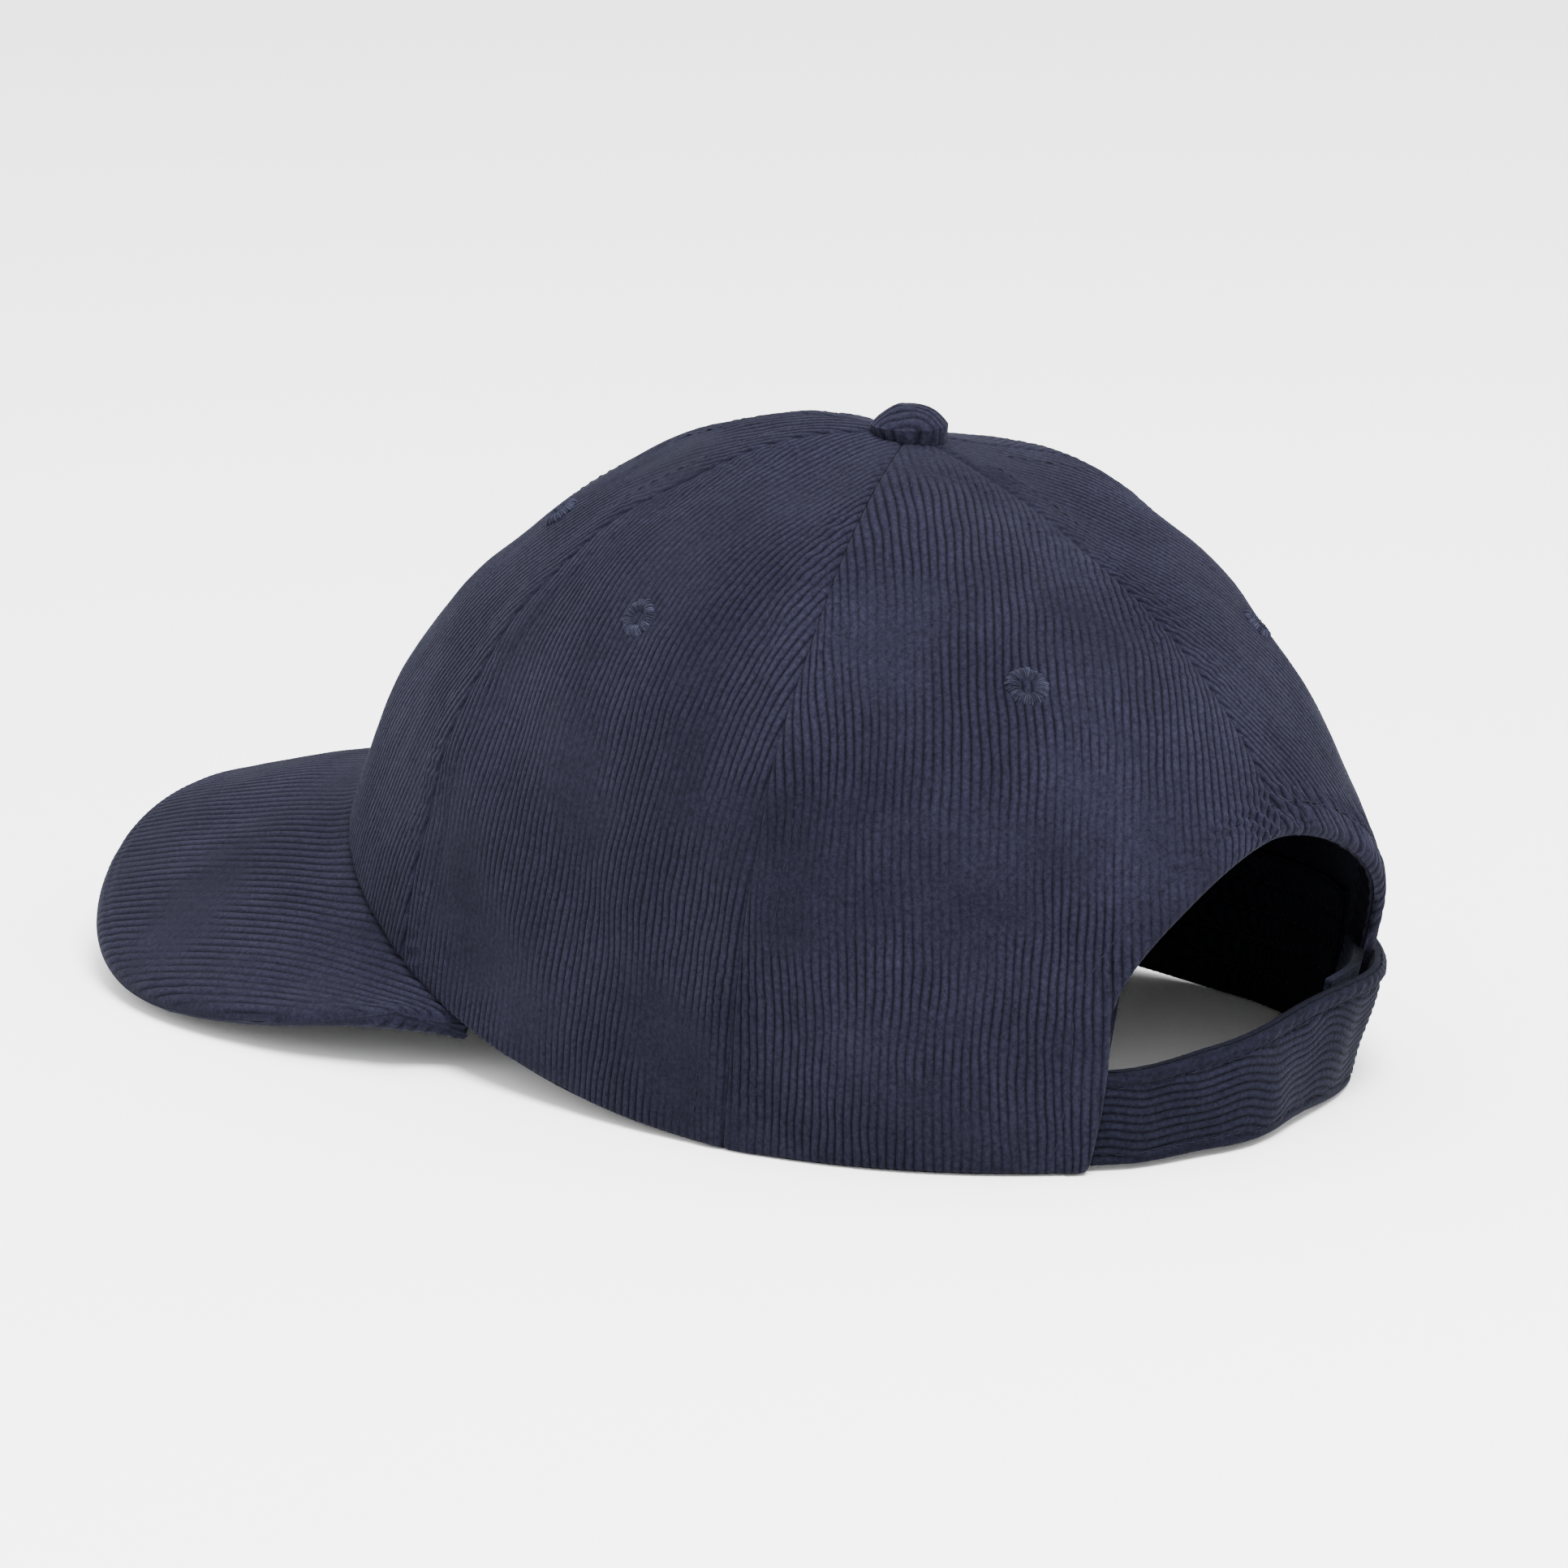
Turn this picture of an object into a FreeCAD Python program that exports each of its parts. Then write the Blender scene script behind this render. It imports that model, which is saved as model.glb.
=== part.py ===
import FreeCAD, Part
import math
import os

# A six-panel corduroy baseball cap, in millimetres.
# +X is the wearer's left, +Y is the back, the visor points to -Y and +Z is up.
# The cap stands on z = 0; the button's axis is the line x = 0, y = 0 until the last step,
# which moves everything so that the origin is under the middle of the outer box.

V = FreeCAD.Vector

# ---------------------------------------------------------------- driving dimensions
HEM_FRONT = 121.6           # button axis to the hem, straight ahead
HEM_BACK = 90.7             # button axis to the hem line, straight back
HEM_SIDE = 72.3             # button axis to the hem at the side
HEM_POWER_FRONT = 2.12      # roundness of the hem's plan (2 is an ellipse)
HEM_POWER_BACK = 2.1
CROWN_HEIGHT = 114.4        # crown apex above the table
HEM_LIFT_FRONT = 40.0       # the visor lifts the front of the hem off the table
HEM_LIFT_SEAM = 16.9        # hem height at the front-side seam
HEM_LIFT_END = 1.84         # the lift ends at this many times the front-side seam's angle
# Meridian profile of the crown as a cubic curve from hem to apex, given at front, side, back:
# length of the lower handle, its lean outwards, length of the upper handle, its fall.
PROFILE_FRONT = (41.6, -0.315, 57.8, -0.16)
PROFILE_SIDE = (69.0, -0.022, 57.5, 0.058)
PROFILE_BACK = (62.6, 0.228, 53.2, 0.196)
# Seam directions about the button axis, at the hem and at the apex, in degrees from the front.
SEAM_FRONT = (0.0, 0.0)
SEAM_A = (55.2, 49.0)       # front panel to side panel
SEAM_B = (98.4, 110.0)      # side panel to back panel
SEAM_BACK = (180.0, 180.0)
HUB = 0.97                  # panels stop here on the profile (1 is the apex)

CLOTH = 1.4                 # corduroy panel with its backing
TAPE = 0.6                  # seam tape
TAPE_WIDTH = 11.0
SWEATBAND_GAP = 0.2         # panel to sweatband
SWEATBAND_THICK = 1.1
SWEATBAND_HEIGHT = 32.0
SWEATBAND_END = 132.5       # the band stops this many degrees from the front
SEWN_GAP = 0.05             # between layers that are sewn face to face
TAPE_TOP = 0.88             # the seam tapes stop here on the profile
FACING_WIDTH = 10.0         # tape round the rear opening, on the inside

ARCH_HALF = 42.6            # half width of the rear opening at the hem
ARCH_SHOULDER = 40.5        # half width where its sides turn into the arch
ARCH_SPRING = 26.3          # height where they turn
ARCH_TOP = 54.3
ARCH_SHAPE = 1.2            # 1 is an ellipse, more is flatter at the haunches
ARCH_SIDE_SHARE = 0.35      # share of the outline's parameter on the straight side

VISOR_END = 65.0            # the visor's root runs this many degrees each side of the front
VISOR_BOARD = 2.0
VISOR_COVER = 1.2
VISOR_INSET = 3.0           # the root edge lies this far inside the hem line
VISOR_SEAT = 1.05           # hem line to the visor's top cover
VISOR_BOW = 1.5             # how far the visor's middle swells above the ruled surface
VISOR_TIP = 180.1           # the visor's tip lies this far in front of the button
VISOR_WIDE_AT = 91.0        # and its widest line this far
VISOR_BACK = 62.0           # and its root ends this far
VISOR_HALF = 77.5           # half width at the widest line
VISOR_ROUND = 2.3           # power of the superellipse between widest line and tip
VISOR_TAPER = 0.0069        # how it narrows behind the widest line, per millimetre squared
VISOR_LOW = 2.4             # height of the mid layer along the sides
VISOR_ARCH = 19.8           # rise of the tip above that
VISOR_ARCH_POWER = 3.6
VISOR_RISE = 0.0015         # how the sides climb again towards the crown
VISOR_RISE_AT = 140.0       # in front of the button, where that climb starts
VISOR_BOARD_RIM = 4.0       # cover fabric beyond the board's edge
BOX_TOLERANCE = 0.1         # of the meshes that the outer box is measured on
CUT_TOLERANCE = 0.01        # lets the covers' shared middle face be cut cleanly

EYELET_HEIGHT = 0.535       # on the profile
EYELET_OUTER = 3.9
EYELET_INNER = 3.0          # radius of the ring on the inside
EYELET_HOLE = 0.8
EYELET_SHANK = 1.6
EYELET_DRILL = 1.7          # hole in the panel
EYELET_PROUD = 0.6
EYELET_FOOT = 0.14          # gap between the cloth and the ring
EYELET_WALL = 0.4           # thickness of the ring on the inside

BUTTON_RADIUS = 6.9
BUTTON_HEIGHT = 5.2
BUTTON_SEAT = 1.1           # the button's rim above the apex
BUTTON_SKIRT = 1.6          # straight part of the rim
BUTTON_CHAMFER = 0.7
BUTTON_FABRIC = 1.1
BUTTON_SHELL = 0.5
BUTTON_MOUTH = 4.2          # hole under the button, radius
WASHER_RADIUS = 7.0
WASHER_THICK = 0.6
WASHER_DROP = 3.3           # apex to the washer's top
POST_RADIUS = 1.6
POST_HEAD = 3.0

STRAP_WIDTH_ROOT = 18.0
STRAP_WIDTH_TIP = 24.0
STRAP_LIFT = 0.6            # strap edge above the table
STRAP_FABRIC = 1.3
STRAP_LINING = 0.6
STRAP_ROOT = 138.5          # sewn end, inside the left back panel
STRAP_HINGE = 149.0         # free part starts
STRAP_PEEL = 193.0          # hook tape starts
STRAP_TIP = 226.0
TAB_ROOT = 221.5
TAB_END = 195.5
STRAP_SLIT = 0.2            # half of the cut between the strap's lengths, in degrees
STRAP_CLEAR = 0.15          # facing tape to the strap
STRAP_SPAN_DEPTH = 5.5      # depth of the strap's outer face where it spans the opening, pulled straight
STRAP_OUTSIDE = -2.5        # and where it lies on the right panel
STRAP_LEAVES = (149.5, 165.0)   # degrees over which it bends inwards
STRAP_LANDS = (180.0, 209.0)    # degrees over which it comes out again
TAB_SPAN_DEPTH = 3.3        # how far the right tab's end bends inwards to meet the strap
TAB_LEAVES = (190.0, 207.0)
HOOK = 0.7
LOOP = 0.7
HOOK_SPAN = (196.0, 209.0)
LOOP_SPAN = (196.5, 211.0)
TAPE_INSET = 0.12           # share of the strap's width left bare each side of the tapes

LABEL_THICK = 0.4
CARE_WIDTH = 24.0
CARE_LENGTH = 28.0
CARE_TOP = 36.0             # height of the care label's sewn top edge
CARE_CLEAR = 0.9            # sweatband to the hanging label
CARE_CORNER = 2.0
SIZE_LABEL_SPAN = (117.0, 128.0)
SIZE_LABEL_LOW = 7.0
SIZE_LABEL_TALL = 18.0


# ---------------------------------------------------------------- crown surface
def power(value, exponent):
    return math.copysign(abs(value) ** exponent, value)


def hem_lift(angle):
    turn = math.degrees(abs(math.atan2(math.sin(angle), math.cos(angle)))) / SEAM_A[0]
    if turn < 1.0:
        return HEM_LIFT_FRONT + (HEM_LIFT_SEAM - HEM_LIFT_FRONT) * turn ** 1.5
    fade = max(0.0, 1.0 - (turn - 1.0) / (HEM_LIFT_END - 1.0))
    return HEM_LIFT_SEAM * fade ** 2


def profile(angle):
    ahead = max(math.cos(angle), 0.0) ** 1.5
    behind = max(-math.cos(angle), 0.0) ** 1.5
    side = 1.0 - ahead - behind
    return [ahead * f + side * s + behind * b
            for f, s, b in zip(PROFILE_FRONT, PROFILE_SIDE, PROFILE_BACK)]


def outer_point(angle, t):
    """Point on the crown's outer face: t is 0 at the hem and 1 at the apex."""
    low, lean, high, fall = profile(angle)
    front_share = (1.0 + math.tanh(3.0 * math.cos(angle))) / 2.0
    reach = HEM_FRONT * front_share + HEM_BACK * (1.0 - front_share)
    exponent = 2.0 / (HEM_POWER_FRONT * front_share + HEM_POWER_BACK * (1.0 - front_share))
    hem_x = HEM_SIDE * power(math.sin(angle), exponent)
    hem_y = -reach * power(math.cos(angle), exponent)
    hem_r = math.hypot(hem_x, hem_y)
    hem_z = hem_lift(angle)
    weights = ((1 - t) ** 3, 3 * t * (1 - t) ** 2, 3 * t * t * (1 - t), t ** 3)
    radii = (hem_r, hem_r + low * math.sin(lean), high * math.cos(fall), 0.0)
    heights = (hem_z, hem_z + low * math.cos(lean),
               CROWN_HEIGHT - high * math.sin(fall), CROWN_HEIGHT)
    r = sum(w * v for w, v in zip(weights, radii))
    z = sum(w * v for w, v in zip(weights, heights))
    return V(hem_x / hem_r * r, hem_y / hem_r * r, z)


def crown_normal(angle, t):
    step = 0.004
    across = outer_point(angle + step, t) - outer_point(angle - step, t)
    up = outer_point(angle, t + step) - outer_point(angle, t - step)
    normal = across.cross(up)
    return normal.normalize()


def crown(angle, t, depth=0.0):
    """Point at a depth inside the outer face (negative is outside)."""
    return outer_point(angle, t) - crown_normal(angle, t) * depth


def seam_angle(seam, t):
    return math.radians(seam[0] + (seam[1] - seam[0]) * t)


def mirrored(seam):
    return (-seam[0], -seam[1])


def rise_for(angle, height):
    """Profile parameter this far up the cloth from the hem."""
    return height / (3.0 * profile(angle)[0])


def on_back(x, z):
    """Angle and profile parameter of the back surface at this x and z."""
    angle, t = math.radians(180.0 - x * 0.7), 0.2
    for _ in range(30):
        here = outer_point(angle, t)
        t += (z - here.z) / 190.0
        angle -= (x - here.x) / 95.0
    return angle, t


# ---------------------------------------------------------------- solids from grids
def skin(grid_out, grid_in):
    """Closed solid between two matching grids of points."""
    faces = []
    surfaces = []
    for grid in (grid_out, grid_in):
        surface = Part.BSplineSurface()
        surface.interpolate(grid)
        surfaces.append(surface)
        faces.append(surface.toShape())
    outer, inner = surfaces
    for make in (lambda s: s.uIso(s.bounds()[0]), lambda s: s.uIso(s.bounds()[1]),
                 lambda s: s.vIso(s.bounds()[2]), lambda s: s.vIso(s.bounds()[3])):
        faces.append(Part.makeRuledSurface(make(outer).toShape(), make(inner).toShape()))
    shell = Part.makeShell(faces)
    shell.sewShape()
    solid = Part.makeSolid(shell)
    if solid.Volume < 0:
        solid.reverse()
    return solid


def layer(place, depth_out, depth_in, count_u, count_v):
    """Slab between two depths under the crown; place(u, v) gives angle and t."""
    grids = []
    for depth in (depth_out, depth_in):
        rows = []
        for i in range(count_u):
            spots = [place(i / (count_u - 1), j / (count_v - 1)) for j in range(count_v)]
            rows.append([crown(angle, t, depth) for angle, t in spots])
        grids.append(rows)
    return skin(*grids)


def between_seams(seam_low, seam_high, t_low, t_high):
    def place(u, v):
        t = t_low + (t_high - t_low) * v
        start = seam_angle(seam_low, t)
        return start + (seam_angle(seam_high, t) - start) * u, t
    return place


def panel(seam_low, seam_high):
    return layer(between_seams(seam_low, seam_high, 0.0, HUB), 0.0, CLOTH, 13, 17)


def layer_between(place, depth_out, depth_in, count_u, count_v):
    """Like layer, with each depth a function of the angle in degrees."""
    grids = []
    for depth in (depth_out, depth_in):
        rows = []
        for i in range(count_u):
            spots = [place(i / (count_u - 1), j / (count_v - 1)) for j in range(count_v)]
            rows.append([crown(angle, t, depth(math.degrees(angle))) for angle, t in spots])
        grids.append(rows)
    return skin(*grids)


def revolved(outline):
    """Solid of revolution about Z from a list of (radius, height) corners."""
    points = [V(r, 0, z) for r, z in outline]
    wire = Part.makePolygon(points + [points[0]])
    return Part.Face(wire).revolve(V(0, 0, 0), V(0, 0, 1), 360.0)


def smooth(value, start, end):
    """0 before start, 1 after end, with a smooth change between."""
    s = min(1.0, max(0.0, (value - start) / (end - start)))
    return s * s * (3.0 - 2.0 * s)


SHAPES = {}


def add(name, shape):
    SHAPES[name] = shape


# ---------------------------------------------------------------- rear opening
def arch_point(s):
    """Outline of the rear opening: s is -1 at the right corner, 0 at the top, 1 at the left."""
    m = 1.0 - abs(s)
    if m < ARCH_SIDE_SHARE:
        f = m / ARCH_SIDE_SHARE
        x = ARCH_HALF + (ARCH_SHOULDER - ARCH_HALF) * f
        z = ARCH_SPRING * f
    else:
        turn = math.radians(90.0 * (m - ARCH_SIDE_SHARE) / (1.0 - ARCH_SIDE_SHARE))
        x = ARCH_SHOULDER * max(math.cos(turn), 0.0) ** ARCH_SHAPE
        z = ARCH_SPRING + (ARCH_TOP - ARCH_SPRING) * math.sin(turn) ** ARCH_SHAPE
    return math.copysign(x, s), z


def arch_cutter():
    """Prism that cuts the rear opening through both back panels."""
    count = 40
    curve = [arch_point(1.0 - 2.0 * i / count) for i in range(count + 1)]
    spline = Part.BSplineCurve()
    spline.interpolate([V(x, 20.0, z) for x, z in curve])
    floor_z = -5.0
    right, left = V(curve[-1][0], 20.0, curve[-1][1]), V(curve[0][0], 20.0, curve[0][1])
    low_right, low_left = V(right.x, 20.0, floor_z), V(left.x, 20.0, floor_z)
    wire = Part.Wire([spline.toShape(), Part.makeLine(right, low_right),
                      Part.makeLine(low_right, low_left), Part.makeLine(low_left, left)])
    return Part.Face(wire).extrude(V(0, 120.0, 0))


def arch_facing():
    """Tape on the inside, all along the edge of the opening."""
    margin, count = 0.4, 61

    def place(u, v):
        s = 1.0 - 2.0 * u
        x, z = arch_point(s)
        ahead, behind = arch_point(max(s - 0.02, -1.0)), arch_point(min(s + 0.02, 1.0))
        run = V(ahead[0] - behind[0], 0, ahead[1] - behind[1])
        run.normalize()
        out = margin + FACING_WIDTH * v
        return on_back(x - run.z * -out, max(z + run.x * -out, 0.4))
    return layer(place, CLOTH + SEWN_GAP, CLOTH + TAPE, count, 4)


# ---------------------------------------------------------------- crown
def eyelet_seat(low_seam, high_seam):
    t = EYELET_HEIGHT
    angle = (seam_angle(low_seam, t) + seam_angle(high_seam, t)) / 2.0
    return crown(angle, t), crown_normal(angle, t)


def along(shape, point, direction):
    """Turn a shape built on +Z to point along direction, and put its origin at point."""
    placed = shape.copy()
    placed.Placement = FreeCAD.Placement(point, FreeCAD.Rotation(V(0, 0, 1), direction))
    return placed


def eyelet():
    """Ring of thread round a hole, with a smaller ring behind the cloth."""
    back = -(CLOTH + EYELET_FOOT)
    waist = EYELET_FOOT + EYELET_PROUD / 3.0
    crest = (EYELET_OUTER + EYELET_HOLE) / 2.0
    return revolved([(EYELET_HOLE, back - EYELET_WALL), (EYELET_INNER, back - EYELET_WALL),
                     (EYELET_INNER, back), (EYELET_SHANK, back), (EYELET_SHANK, EYELET_FOOT),
                     (EYELET_OUTER - EYELET_FOOT, EYELET_FOOT), (EYELET_OUTER, waist),
                     (EYELET_OUTER - EYELET_PROUD, EYELET_PROUD),
                     (crest, EYELET_PROUD + EYELET_FOOT), (EYELET_HOLE, EYELET_WALL)])


PANELS = (("panel_front", SEAM_FRONT, SEAM_A), ("panel_side", SEAM_A, SEAM_B),
          ("panel_back", SEAM_B, SEAM_BACK))


def build_crown():
    cutter = arch_cutter()
    for name, low, high in PANELS:
        for side, sign in (("left", 1), ("right", -1)):
            low_side, high_side = low, high
            if sign < 0:
                low_side, high_side = mirrored(high), mirrored(low)
            shape = panel(low_side, high_side)
            if name == "panel_back":
                shape = shape.cut(cutter)
            point, normal = eyelet_seat(low_side, high_side)
            drill = Part.makeCylinder(EYELET_DRILL, 6.0 * CLOTH, V(0, 0, -3.0 * CLOTH))
            shape = shape.cut(along(drill, point, normal))
            add(name + "_" + side, shape)
            add("eyelet_" + name.split("_")[1] + "_" + side, along(eyelet(), point, normal))


def seam_tape(seam, t_low):
    def place(u, v):
        t = t_low + (TAPE_TOP - t_low) * v
        angle = seam_angle(seam, t)
        step = 0.01
        stretch = (outer_point(angle + step, t) - outer_point(angle - step, t)).Length / (2 * step)
        return angle + (u - 0.5) * TAPE_WIDTH / stretch, t
    return layer(place, CLOTH + SEWN_GAP, CLOTH + TAPE, 5, 17)


def build_tapes():
    clear = SWEATBAND_HEIGHT + 1.0
    for name, seam in (("front", SEAM_FRONT), ("front_left", SEAM_A), ("rear_left", SEAM_B),
                       ("front_right", mirrored(SEAM_A)), ("rear_right", mirrored(SEAM_B))):
        t_low = rise_for(math.radians(seam[0]), clear) * 1.12
        add("seam_tape_" + name, seam_tape(seam, t_low))
    t_arch = on_back(0.0, ARCH_TOP + FACING_WIDTH + 1.0)[1]
    add("seam_tape_back", seam_tape(SEAM_BACK, t_arch))


def build_sweatband():
    outer = CLOTH + SWEATBAND_GAP

    def place(u, v):
        angle = math.radians(SWEATBAND_END * (2.0 * u - 1.0))
        return angle, rise_for(angle, 0.5 + (SWEATBAND_HEIGHT - 0.5) * v)
    add("sweatband", layer(place, outer, outer + SWEATBAND_THICK, 61, 5))


# ---------------------------------------------------------------- visor
EDGE_FRONT_STEPS = 9
EDGE_BACK_STEPS = 3


def edge_height(y):
    return VISOR_LOW + VISOR_RISE * max(0.0, y + VISOR_RISE_AT) ** 2


def visor_edge_half():
    """Left half of the visor's outer edge, mid layer, from the tip to the root end."""
    points = []
    for i in range(EDGE_FRONT_STEPS + 1):
        turn = math.pi / 2.0 * i / EDGE_FRONT_STEPS
        ahead = max(0.0, math.cos(turn))
        y = -VISOR_WIDE_AT - (VISOR_TIP - VISOR_WIDE_AT) * ahead ** (2.0 / VISOR_ROUND)
        arch = VISOR_ARCH * ahead ** VISOR_ARCH_POWER
        points.append(V(VISOR_HALF * math.sin(turn), y, edge_height(y) + arch))
    for i in range(1, EDGE_BACK_STEPS + 1):
        back = (VISOR_WIDE_AT - VISOR_BACK) * i / EDGE_BACK_STEPS
        y = back - VISOR_WIDE_AT
        points.append(V(VISOR_HALF - VISOR_TAPER * back ** 2, y, edge_height(y)))
    return points


def visor_edge_curve():
    half = visor_edge_half()
    curve = Part.BSplineCurve()
    curve.interpolate([V(-p.x, p.y, p.z) for p in reversed(half[1:])] + half)
    return curve


EDGE_CURVE = visor_edge_curve()
EDGE_COUNT = 200
EDGE_STATIONS = EDGE_CURVE.discretize(Number=EDGE_COUNT + 1)


def edge_point(a):
    """Outer edge of the visor's mid layer: a is -1 at the right end and 1 at the left."""
    place = (a + 1.0) / 2.0 * EDGE_COUNT
    index = min(int(place), EDGE_COUNT - 1)
    low, high = EDGE_STATIONS[index], EDGE_STATIONS[index + 1]
    return low + (high - low) * (place - index)


def root_point(a):
    """Root edge of the mid layer, just inside the hem line."""
    angle = math.radians(VISOR_END) * a
    hem = outer_point(angle, 0.0)
    level = crown_normal(angle, 0.0)
    level.z = 0.0
    level.normalize()
    drop = VISOR_SEAT + VISOR_COVER + VISOR_BOARD / 2.0
    return hem - level * VISOR_INSET - V(0, 0, drop)


def visor_point(a, s):
    swell = 4.0 * VISOR_BOW * s * (1.0 - s) * (1.0 - a ** 4)
    return root_point(a) * (1.0 - s) + edge_point(a) * s + V(0, 0, swell)


def visor_at(a, s, height):
    """Point at a height above the mid layer."""
    step = 0.01
    across = visor_point(a + step, s) - visor_point(a - step, s) if abs(a) < 0.98 else (
        (visor_point(a, s) - visor_point(a - math.copysign(step, a), s)) * math.copysign(1.0, a))
    out = visor_point(a, s + step) - visor_point(a, s - step)
    normal = out.cross(across)
    normal.normalize()
    if normal.z < 0:
        normal = normal * -1.0
    return visor_point(a, s) + normal * height


def visor_slab(low, high, end, rim):
    grids = []
    for height in (high, low):
        rows = []
        for i in range(41):
            a = end * (2.0 * i / 40 - 1.0)
            length = (edge_point(a) - root_point(a)).Length
            reach = 1.0 - rim / length
            rows.append([visor_at(a, reach * j / 8.0, height) for j in range(9)])
        grids.append(rows)
    return skin(*grids)


def build_visor():
    half = VISOR_BOARD / 2.0
    whole = half + VISOR_COVER
    board = visor_slab(-half, half, 0.93, VISOR_BOARD_RIM)
    top = visor_slab(0.0, whole, 1.0, 0.0).cut([board], CUT_TOLERANCE)
    under = visor_slab(-whole, 0.0, 1.0, 0.0).cut([board], CUT_TOLERANCE)
    add("visor_board", board)
    add("visor_top_cover", top)
    add("visor_under_cover", under)


# ---------------------------------------------------------------- button
def dome(radius, skirt, rise, base):
    """Lens-shaped solid: a short skirt with a round cap."""
    side = V(radius, 0, base + skirt)
    top = V(0, 0, base + skirt + rise)
    ball = (radius ** 2 + rise ** 2) / (2.0 * rise)
    half = math.asin(radius / ball) / 2.0
    middle = V(ball * math.sin(half), 0, base + skirt + rise - ball * (1.0 - math.cos(half)))
    foot = V(radius - BUTTON_CHAMFER, 0, base)
    rim = V(radius, 0, base + BUTTON_CHAMFER)
    wire = Part.Wire([Part.makeLine(V(0, 0, base), foot), Part.makeLine(foot, rim),
                      Part.makeLine(rim, side), Part.Arc(side, middle, top).toShape(),
                      Part.makeLine(top, V(0, 0, base))])
    return Part.Face(wire).revolve(V(0, 0, 0), V(0, 0, 1), 360.0)


def build_button():
    seat = CROWN_HEIGHT + BUTTON_SEAT
    floor = BUTTON_FABRIC / 2.0
    skirt = BUTTON_SKIRT - floor
    rise = BUTTON_HEIGHT - BUTTON_SKIRT
    cavity = dome(BUTTON_RADIUS - BUTTON_FABRIC, skirt, rise - floor, seat + floor)
    mouth = Part.makeCylinder(BUTTON_MOUTH, 2.0 * floor, V(0, 0, seat - floor / 2.0))
    add("button_cover", dome(BUTTON_RADIUS, BUTTON_SKIRT, rise, seat).cut(cavity).cut(mouth))
    shell_radius = BUTTON_RADIUS - BUTTON_FABRIC - BUTTON_SHELL
    hollow = dome(shell_radius, skirt, rise - floor - BUTTON_SHELL, seat + floor)
    mouth = Part.makeCylinder(BUTTON_MOUTH, 3.0 * floor, V(0, 0, seat + floor / 2.0))
    add("button_shell", cavity.cut(hollow).cut(mouth))
    washer_top = CROWN_HEIGHT - WASHER_DROP
    washer_low = washer_top - WASHER_THICK
    washer = Part.makeCylinder(WASHER_RADIUS, WASHER_THICK, V(0, 0, washer_low))
    hole = Part.makeCylinder(POST_RADIUS, 3.0 * WASHER_THICK, V(0, 0, washer_low - WASHER_THICK))
    add("button_washer", washer.cut(hole))
    post_top = seat + BUTTON_HEIGHT - floor - 2.0 * BUTTON_SHELL
    head = washer_low - WASHER_THICK
    add("button_post", revolved([(0, head), (POST_HEAD, head), (POST_HEAD, washer_low),
                                 (POST_RADIUS, washer_low), (POST_RADIUS, post_top), (0, post_top)]))


# ---------------------------------------------------------------- closure
def strap_depth(degrees):
    """Depth of the strap's outer face: inside the left panel, then outside the right one."""
    inside = CLOTH + TAPE + STRAP_CLEAR
    depth = inside + (STRAP_SPAN_DEPTH - inside) * smooth(degrees, *STRAP_LEAVES)
    return depth + (STRAP_OUTSIDE - STRAP_SPAN_DEPTH) * smooth(degrees, *STRAP_LANDS)


def tab_depth(degrees):
    """Depth of the right tab's outer face."""
    return CLOTH + TAPE + STRAP_CLEAR + TAB_SPAN_DEPTH * (1.0 - smooth(degrees, *TAB_LEAVES))


def strap_place(start, end):
    def place(u, v):
        degrees = start + (end - start) * u
        angle = math.radians(degrees)
        share = (degrees - STRAP_ROOT) / (STRAP_TIP - STRAP_ROOT)
        width = STRAP_WIDTH_ROOT + (STRAP_WIDTH_TIP - STRAP_WIDTH_ROOT) * smooth(share, 0.0, 0.8)
        return angle, rise_for(angle, STRAP_LIFT + width * v)
    return place


def strap_layer(start, end, top, bottom, count):
    return layer_between(strap_place(start, end), lambda d: strap_depth(d) + top,
                         lambda d: strap_depth(d) + bottom, count, 4)


def build_strap():
    fabric, lining = STRAP_FABRIC, STRAP_FABRIC + STRAP_LINING
    root_end, base_start = STRAP_HINGE - STRAP_SLIT, STRAP_HINGE + STRAP_SLIT
    base_end, tip_start = STRAP_PEEL - STRAP_SLIT, STRAP_PEEL + STRAP_SLIT
    add("strap_root", strap_layer(STRAP_ROOT, root_end, 0.0, lining, 9))
    add("strap_base", strap_layer(base_start, base_end, 0.0, fabric, 25))
    add("strap_base_lining", strap_layer(base_start, base_end, fabric, lining, 25))
    add("strap_end", strap_layer(tip_start, STRAP_TIP, 0.0, fabric, 25))
    add("strap_end_lining", strap_layer(tip_start, STRAP_TIP, fabric, lining, 25))

    def inset(span):
        whole = strap_place(*span)
        return lambda u, v: whole(u, TAPE_INSET + (1.0 - 2.0 * TAPE_INSET) * v)
    add("hook_tape", layer_between(inset(HOOK_SPAN), lambda d: strap_depth(d) + lining + SEWN_GAP,
                                   lambda d: strap_depth(d) + lining + HOOK, 21, 4))
    add("right_tab", layer_between(strap_place(TAB_END, TAB_ROOT), tab_depth,
                                   lambda d: tab_depth(d) + STRAP_FABRIC, 21, 4))
    add("loop_tape", layer_between(inset(LOOP_SPAN), lambda d: tab_depth(d) - LOOP,
                                   lambda d: tab_depth(d) - SEWN_GAP, 21, 4))


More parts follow.
